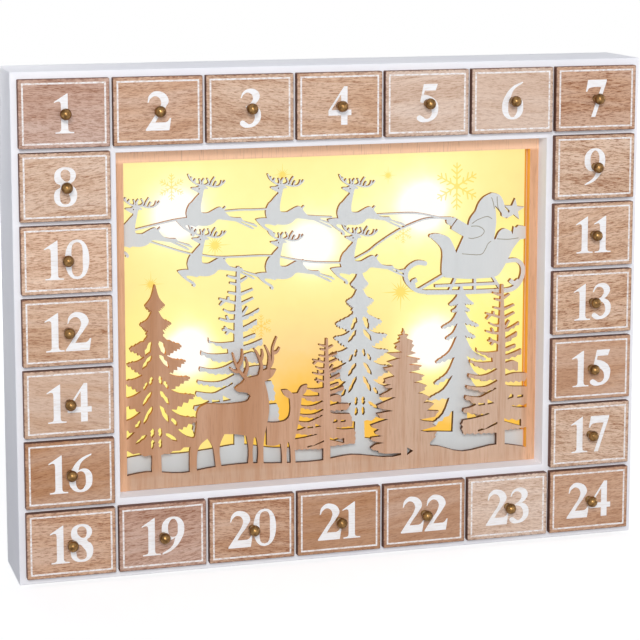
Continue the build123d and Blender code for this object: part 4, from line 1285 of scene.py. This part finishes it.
reindeerAntlers = (
    ((.41, .662), (.352, .68), (.303, .711), (.263, .748), (.234, .813)), ((.283, .727), (.275, .756),
    (.283, .779)), ((.32, .702), (.316, .726), (.334, .752)), ((.385, .671), (.395, .703), (.381, .749)),
    ((.418, .662), (.483, .663), (.557, .643), (.63, .645), (.688, .678), (.72, .716)), ((.426, .665),
    (.42, .713), (.447, .752)), ((.467, .663), (.506, .697), (.483, .753)), ((.524, .649), (.545, .708),
    (.583, .766)), ((.577, .645), (.586, .678), (.607, .709)), ((.647, .65), (.668, .682), (.674, .718)),
)
reindeerEye = {"middle": (0.376, 0.623), "radius": 0.42, "corners": 5}
sleighBox = (-0.0033, 0.0, 1, 1)
reinLines = (
    ((.25, .806), (.295, .809), (.328, .808), (.364, .808)), ((.446, .784), (.48, .779), (.512, .776)),
    ((.6, .777), (.657, .778), (.706, .777), (.735, .771), (.77, .76), (.8, .75)), ((.04, .759), (.099, .775),
    (.147, .787), (.178, .791)), ((.075, .735), (.124, .712), (.156, .697), (.188, .684)), ((.198, .684),
    (.243, .673), (.291, .671), (.34, .671), (.371, .669)), ((.38, .668), (.423, .654), (.472, .643),
    (.532, .638)), ((.552, .639), (.596, .666), (.623, .691), (.667, .725), (.712, .749), (.745, .759),
    (.8, .758)), ((.668, .602), (.684, .606), (.698, .606)),
)
sleighRuns = (
    ((.7463, .7035), (.754, .712), (.77, .7112)), ((.7927, .6986), (.805, .672), (.811, .65)),
    ((.829, .6993),), ((.7985, .723),), ((.799, .732), (.79, .743), (.795, .756)), ((.806, .759),
    (.814, .754)), ((.8403, .7328),), ((.845, .754), (.858, .775)), ((.866, .8), (.879, .818), (.898, .829)),
    ((.915, .823), (.925, .805), (.931, .78)), ((.94, .764), (.933, .751), (.923, .756)), ((.922, .766),),
    ((.913, .78), (.906, .79)), ((.909, .74), (.904, .6863)), ((.908, .6863),), ((.916, .708), (.93, .718),
    (.947, .708)), ((.95, .699),), ((.953, .723),), ((.959, .719),), ((.965, .726),), ((.988, .72),),
    ((.988, .686),), ((.969, .682),), ((.952, .656), (.94, .625), (.927, .595)), ((.914, .575),
    (.8944, .569)), ((.84, .569), (.7844, .577)), ((.776, .59), (.776, .62)), ((.775, .665), (.7463, .7035)),
)
runnerLines = (
    ((.735, .623), (.715, .626), (.693, .608), (.689, .58), (.702, .555), (.72, .54), (.75, .533)),
    ((.74, .5345), (.83, .529), (.92, .527)), ((.91, .527), (.95, .53), (.972, .556), (.977, .595),
    (.962, .618), (.932, .617)), ((.708, .553), (.706, .568), (.716, .574)), ((.968, .556), (.956, .548),
    (.945, .558)),
)
strutLines = (
    ((.715, .54), (.78, .584)), ((.76, .552), (.915, .55)), ((.795, .532), (.81, .572)), ((.858, .53),
    (.858, .572)), ((.925, .526), (.9, .576)),
)
# place and radius
roundEnds = ((.7495, .705, 1.3), (.735, .623, 1.5), (.932, .617, 1.3), (.7958, .7482, 2.6))
cuffLine = ((.8151, .7579), (.804, .74), (.7962, .7249))
starSpot = {"middle": (0.9530, 0.7745), "outer": 7.4, "inner": 3.0, "points": 5, "turn": 6.0}
# thin engraved lines of the coat, cap and sack
engravedLines = (
    ((.825, .647), (.8696, .6415), (.8821, .6564), (.8888, .6731), (.8968, .6812)), ((.8471, .7296),
    (.8654, .7285), (.8793, .715), (.8725, .6997), (.852, .6923), (.8406, .6944)), ((.8494, .7379),
    (.863, .7486), (.8858, .7573), (.8985, .7495)), ((.8967, .8149), (.9014, .7976), (.9039, .7804)),
    ((.9104, .817), (.9119, .7885), (.9178, .7712)), ((.9117, .6875), (.9394, .6845), (.9648, .6873)),
)
# the widths of lines at their root and tip, in millimetres
lineWidths = {
    "stagAntler": (2.3, 0.9), "antler": (1.15, 0.8), "rein": (1.0, 1.0), "runner": (3.0, 2.6),
    "strut": (1.8, 1.8), "cuff": (0.7, 0.5), "engraved": (0.45, 0.45),
}
# prints on the lit sheet: place and reach
printedFlakes = ((.815, .851, 15.2), (.143, .882, 8.5), (.347, .458, 7.5), (.685, .715, 6.5))
printedStars = ((.648, .892, 6.4), (.398, .906, 8), (.241, .706, 10.5), (.68, .538, 13.5), (.094, .6, 8.5))
flakeLook = {
    "arms": 6, "core": (0.16, 0.12), "line": (0.07, 0.05),
    "needles": ((0.3, 0.22), (0.52, 0.32), (0.76, 0.22)), "needleTurn": radians(50),
}
starRays = ((1.0, 0.055, 4, 0.0), (0.7, 0.06, 4, 45.0), (0.48, 0.15, 8, 22.5))   # outer, inner, rays and turn
groundRuns = (
    ((0, .04), (.07, .053), (.15, .042), (.22, .052), (.3, .056), (.38, .049), (.47, .047), (.55, .058),
    (.65, .042), (.74, .068), (.82, .042), (.91, .056), (1, .034)), ((1, .002),), ((0, .002),),
)
snowRuns = (
    ((0, .085), (.07, .098), (.15, .094), (.22, .1), (.29, .108), (.37, .09), (.46, .086), (.55, .104),
    (.65, .088), (.73, .104), (.82, .097), (.91, .101), (1, .085)), ((1, .002),), ((0, .002),),
)


def starShape(middle, outer, inner, points, turn=0.0):
    line = []
    for corner in range(2 * points):
        angle = radians(turn) + pi * corner / points
        reach = outer if corner % 2 == 0 else inner
        line.append(middle + Vector((reach * sin(angle), reach * cos(angle))))
    return line


def sheetEdges():
    wide = sceneWidth / 2 - fretwork["clearance"]
    return -wide, sceneFloor + fretwork["clearance"], wide, sceneFloor + sceneHeight - fretwork["clearance"]


def rectangle(left, low, right, high):
    return [Vector(corner) for corner in ((left, low), (right, low), (right, high), (left, high))]


def borderStrips():
    left, low, right, high = sheetEdges()
    side = fretwork["border"]
    return [rectangle(left, low, right, low + side),
            rectangle(left, high - fretwork["head"], right, high),
            rectangle(left, low, left + fretwork["leftBorder"], high),
            rectangle(right - side, low, right, high)]


def windingArea(loop):
    return sum(a.x * b.y - b.x * a.y for a, b in zip(loop, [*loop[1:], loop[0]]))


def cutSheet(name, shapes, cuts, y, thickness):
    # keeps what lies in a shape and in no cut, inside the edges of the panel
    loops = []
    for loop in [*shapes, *cuts]:
        clean = [point for index, point in enumerate(loop)
                 if (point - loop[index - 1]).length > fretwork["tiny"]]
        loops.append(clean if windingArea(clean) > 0 else clean[::-1])
    loops.append(rectangle(*sheetEdges()))
    sheet = len(loops) - 1
    points, faces = [], []
    for loop in loops:
        faces.append(list(range(len(points), len(points) + len(loop))))
        points += loop
    corners, _, cells, _, _, cellOwners = delaunay_2d_cdt(points, [], faces, 1, 1e-4)
    kept = []
    for cell, owners in zip(cells, cellOwners):
        inShape = any(owner < len(shapes) for owner in owners)
        inCut = any(len(shapes) <= owner < sheet for owner in owners)
        if inShape and not inCut and sheet in owners:
            kept.append(cell)
    mesh = bpy.data.meshes.new(name)
    mesh.from_pydata([(point.x * mm, y * mm, point.y * mm) for point in corners], [], kept)
    piece = bpy.data.objects.new(name, mesh)
    bpy.context.scene.collection.objects.link(piece)
    editPiece(piece)
    bpy.ops.mesh.delete_loose()
    leaveEdit()
    depth = piece.modifiers.new("depth", "SOLIDIFY")
    depth.thickness = thickness * mm
    depth.offset = -1.0
    bpy.ops.object.modifier_apply(modifier=depth.name)
    return piece


def cutInk(name, shapes, y):
    # a film of ink or scorch, half sunk into the surface
    return cutSheet(name, shapes, [], y - fretwork["ink"] / 2, fretwork["ink"])


frontTrees = {
    "fir": {"middle": -112.2, "top": 177.2, "foot": 55.0, "trunk": 2.8, "teeth": 4, "rag": 1.5, "seed": 11},
    "firSlots": {"middle": -112.2, "top": 177.2, "seed": 5},
    "sprays": ({"middle": -2.9, "top": 137.6, "tall": 74.8, "wide": 89.0, "foot": 56.0, "seed": 23},
               {"middle": 114.2, "top": 165.8, "tall": 103.0, "wide": 109.0, "foot": 56.0, "seed": 31}),
    "spruce": {"middle": 47.7, "top": 140.9, "foot": 56.0},
}


def makeFrontFretwork():
    shapes = [*borderStrips(), outline(wholeScene, groundRuns), *tieredTree(firTiers, **frontTrees["fir"])]
    cuts = treeSlots(firSlots, **frontTrees["firSlots"])
    trees = [sprayTree(**spray) for spray in frontTrees["sprays"]]
    for treeShapes, treeCuts in (*trees, denseSpruce(**frontTrees["spruce"])):
        shapes += treeShapes
        cuts += treeCuts
    shapes += [outline(herdBox, stagRuns), outline(herdBox, doeRuns)]
    shapes += strips(stagAntlers, herdBox, lineWidths["stagAntler"])
    piece = cutSheet("frontFretwork", shapes, cuts, fretwork["frontY"], fretwork["thickness"])
    setPiece(piece, frontVeneer, "case", "panel_wood", "scene_front_panel")


middleTrees = {
    "fir": {"middle": 20.6, "top": 182.0, "foot": 66.0, "trunk": 3.0, "teeth": 4, "rag": 1.4, "seed": 71,
            "scale": 0.946},
    "firSlots": {"middle": 20.6, "top": 182.0, "seed": 9, "scale": 0.946},
    "spray": {"middle": -58.2, "top": 185.0, "tall": 112.0, "wide": 122.0, "foot": 66.0, "seed": 61},
    "spruce": {"middle": 88.5, "top": 166.0, "foot": 66.0, "trunk": 4.6, "teeth": 3, "rag": 1.1, "seed": 83},
}


def makeMiddleFretwork():
    shapes = [*borderStrips(), outline(wholeScene, snowRuns)]
    added, cuts = sprayTree(**middleTrees["spray"])
    shapes += added
    shapes += tieredTree(firTiers, **middleTrees["fir"])
    shapes += tieredTree(spruceTiers, **middleTrees["spruce"])
    eye, star = reindeerEye, starSpot
    for place in reindeerPlaces:
        box = (*place, *reindeerSize)
        shapes.append(outline(box, reindeerRuns))
        shapes += strips(reindeerAntlers, box, lineWidths["antler"])
        cuts.append(starShape(spot(*eye["middle"], box), eye["radius"], eye["radius"], eye["corners"]))
    shapes += strips(reinLines, sleighBox, lineWidths["rein"])
    shapes.append(outline(sleighBox, sleighRuns))
    shapes += strips(runnerLines, sleighBox, lineWidths["runner"])
    shapes += strips(strutLines, sleighBox, lineWidths["strut"])
    for across, up, reach in roundEnds:
        shapes.append(starShape(spot(across, up, sleighBox), reach, reach, fretwork["roundSides"]))
    middle = spot(*star["middle"], sleighBox)
    shapes.append(starShape(middle, star["outer"], star["inner"], star["points"], star["turn"]))
    cuts += treeSlots(firSlots, **middleTrees["firSlots"])
    cuts += strips([cuffLine], sleighBox, lineWidths["cuff"])
    piece = cutSheet("middleFretwork", shapes, cuts, fretwork["middleY"], fretwork["thickness"])
    setPiece(piece, greyPanel, "case", "panel_grey", "scene_middle_panel")


def makeEngraving():
    lines = strips(engravedLines, sleighBox, lineWidths["engraved"])
    setPiece(cutInk("sleighEngraving", lines, fretwork["middleY"]), engraving, "case", "panel_grey")


def flakeShapes(middle, reach):
    # arms all round, each with pairs of side needles
    def pointing(angle):
        return Vector((sin(angle), cos(angle))) * reach

    line = [width * reach for width in flakeLook["line"]]
    shapes = [starShape(middle, *(radius * reach for radius in flakeLook["core"]), flakeLook["arms"])]
    for arm in range(flakeLook["arms"]):
        angle = 2 * pi * arm / flakeLook["arms"]
        along = pointing(angle)
        shapes.append(strip([middle, middle + along], *line))
        for share, needle in flakeLook["needles"]:
            start = middle + along * share
            for turn in (-flakeLook["needleTurn"], flakeLook["needleTurn"]):
                shapes.append(strip([start, start + pointing(angle + turn) * needle], *line))
    return shapes


def makePrints():
    shapes = []
    for across, up, reach in printedFlakes:
        shapes += flakeShapes(spot(across, up, sleighBox), reach)
    for across, up, reach in printedStars:
        middle = spot(across, up, sleighBox)
        for outer, inner, rays, turn in starRays:
            shapes.append(starShape(middle, outer * reach, inner * reach, rays, turn))
    setPiece(cutInk("sheetPrints", shapes, fretwork["sheetY"]), litPrint, "case", "backdrop_sheet")


makeFrontFretwork()
makeMiddleFretwork()
makeEngraving()
makePrints()
print("fretwork cut")


# the inside of the scene and the back

dressNode("scene_spacers", bareStripPaintedGlow)
dressNode("scene_backdrop", litSheet)
dressNode("led_lamps", lampLens)
dressNode("led_wires", wireJacket)
dressNode("battery_box", boxPlastic)
dressNode("battery_cover", boxPlastic)
dressNode("switch_slider", switchPlastic)
dressNode("back_panel", backBoard)

screwShape = {
    "sides": 40, "radius": 2.6, "height": 0.9, "paintedShade": 0.3, "edge": 0.3, "cross": (3.2, 0.7),
    "deep": 0.5, "over": 1.0,
    "rows": (46.4, 263.6), "columns": (-170, -60, 60, 170), "middle": ((-140.7, 155), (140.7, 155)),
}


def modelScrew():
    # a flat head on the back panel, with a cross cut into it
    clearSelection()
    face = calendar["depth"] / 2 + screwShape["height"] - screwShape["paintedShade"]
    bpy.ops.mesh.primitive_cylinder_add(
        vertices=screwShape["sides"], radius=screwShape["radius"] * mm, depth=screwShape["height"] * mm,
        location=(0, (face - screwShape["height"] / 2) * mm, 0), rotation=(pi / 2, 0, 0))
    screw = bpy.context.object
    applyPlace()
    editPiece(screw)
    selectWhere(screw, "edges", lambda edge: all(point.co.y > (face - slack) * mm for point in edge.verts))
    easeEdges(screwShape["edge"], 3)
    leaveEdit()
    long, narrow = screwShape["cross"]
    for wide, high in ((long, narrow), (narrow, long)):
        cutter = addBoard((-wide / 2, face - screwShape["deep"], -high / 2),
                          (wide / 2, face + screwShape["over"], high / 2))
        pick(screw)
        cut = screw.modifiers.new("cross", "BOOLEAN")
        cut.object = cutter
        cut.operation = "DIFFERENCE"
        bpy.ops.object.modifier_apply(modifier="cross")
        discard(cutter)
    smoothPiece(screw)
    return screw


# a line for on and a ring for off, beside the switch
switchMark = {
    "face": 26.6, "up": 130.6, "on": -31.15, "off": -27.15, "tall": 3.0, "wide": 0.7, "raise": 0.15,
    "paintedShade": 0.1, "edge": 0.06, "ring": (1.2, 0.33), "ringSides": (40, 10),
}


def makeScrews():
    first = modelScrew()
    places = [(x, z) for z in screwShape["rows"] for x in screwShape["columns"]]
    heads = [copyPiece(first, "backScrew", (x, 0, z)) for x, z in (*places, *screwShape["middle"])]
    discard(first)
    setPiece(joinPieces(heads, "backScrews"), antiqueBrass, "case", "knob_brass")


def makeSwitchMarks():
    mark = switchMark
    wide, tall = mark["wide"] / 2, mark["tall"] / 2
    line = addBoard((mark["on"] - wide, mark["face"] - mark["paintedShade"], mark["up"] - tall),
                    (mark["on"] + wide, mark["face"] + mark["raise"], mark["up"] + tall), mark["edge"])
    clearSelection()
    radius, thick = mark["ring"]
    around, across = mark["ringSides"]
    bpy.ops.mesh.primitive_torus_add(
        major_segments=around, minor_segments=across, major_radius=radius * mm, minor_radius=thick * mm,
        location=Vector((mark["off"], mark["face"], mark["up"])) * mm, rotation=(pi / 2, 0, 0))
    ring = bpy.context.object
    applyPlace()
    marks = joinPieces([line, ring], "switchMarks")
    smoothPiece(marks)
    setPiece(marks, markPaint, "case", "box_plastic")


makeScrews()
makeSwitchMarks()
print("scene and back dressed")


# stage, light and camera

stageLook = {
    "floorSize": 6.0, "floor": (0.56, 0.56, 0.56, 1), "paper": (0.6, 0.6, 0.6, 1), "mottle": (30, 3.0),
    "roughness": 0.9, "lift": (0.35, 0.9, 0.66, 1.0),
}


def makeFloorFinish():
    # white to the camera, darker only where the calendar shades it
    look = stageLook
    finish, tree, shader = newFinish("stageFloor", Roughness=look["roughness"], Specular_IOR_Level=0.0,
                                     Emission_Color=white)
    coords = objectCoords(tree)
    away = addNode(tree, "VectorMath", {0: coords}, operation="LENGTH").outputs[1]
    paper = blendTones(tree, evenly(tree, coords, *look["mottle"]), look["floor"], look["paper"])
    joinSocket(tree, paper, shader, "Base Color")
    lift = times(tree, seenDirectly(tree), span(tree, away, *look["lift"]))
    joinSocket(tree, lift, shader, "Emission Strength")
    return finish


def makeStage():
    clearSelection()
    bpy.ops.mesh.primitive_plane_add(size=stageLook["floorSize"], location=(0, 0, 0))
    floor = bpy.context.object
    floor.name = "stageFloor"
    floor.data.materials.append(makeFloorFinish())


# lamps in metres and watts, all turned to the middle of the calendar
softboxes = {
    "key": {"place": (-0.8, -2.6, 1.42), "size": 0.8, "power": 34.0},
    "front": {"place": (-0.3, -2.9, 0.7), "size": 1.4, "power": 21.0},
    "fill": {"place": (1.5, -2.4, 0.97), "size": 1.6, "power": 8.0},
    "overhead": {"place": (0.3, 2.0, 2.1), "size": 1.6, "power": 10.5},
    "side": {"place": (2.7, 0.3, 0.8), "size": 1.4, "power": 13.0},
    "back": {"place": (-0.5, 2.8, 0.7), "size": 1.6, "power": 14.0},
}
airLook = {"strength": 0.25, "colour": (0.86, 0.93, 1.12, 1)}
aim = Vector((0, 0, calendar["height"] / 2 * mm))


def addSoftbox(name, place, size, power):
    clearSelection()
    bpy.ops.object.light_add(type="AREA", location=place)
    lamp = bpy.context.object
    lamp.name = name + "Softbox"
    lamp.data.shape = "DISK"
    lamp.data.size = size
    lamp.data.energy = power
    lamp.rotation_euler = (aim - Vector(place)).to_track_quat("-Z", "Y").to_euler()


def lightWorld():
    world = bpy.context.scene.world or bpy.data.worlds.new("studio")
    bpy.context.scene.world = world
    world.use_nodes = True
    tree = world.node_tree
    tree.nodes.clear()
    seen = seenDirectly(tree)
    strength = span(tree, seen, 0.0, 1.0, airLook["strength"], 1.0)
    colour = blendTones(tree, seen, airLook["colour"], white)
    air = addNode(tree, "Background", {"Color": colour, "Strength": strength})
    addNode(tree, "OutputWorld", {"Surface": air.outputs[0]})


# fitted to the corners of the case and the knobs in the photo
cameraLook = {
    "place": (-0.37777, -1.26022, 0.40927), "towards": (0.28149, 0.94875, -0.14365),
    "lens": 119.55, "sensor": 36.0, "shiftY": -0.175, "near": 0.05, "far": 50.0,
}


def addCamera():
    clearSelection()
    bpy.ops.object.camera_add(location=cameraLook["place"])
    camera = bpy.context.object
    camera.name = "photoCamera"
    camera.rotation_euler = Vector(cameraLook["towards"]).to_track_quat("-Z", "Y").to_euler()
    camera.data.sensor_width = cameraLook["sensor"]
    camera.data.lens = cameraLook["lens"]
    camera.data.shift_y = cameraLook["shiftY"]
    camera.data.clip_start = cameraLook["near"]
    camera.data.clip_end = cameraLook["far"]
    bpy.context.scene.camera = camera


makeStage()
for name, look in softboxes.items():
    addSoftbox(name, **look)
lightWorld()
addCamera()
bpy.context.scene.view_settings.view_transform = "Standard"
print("stage, light and camera set")
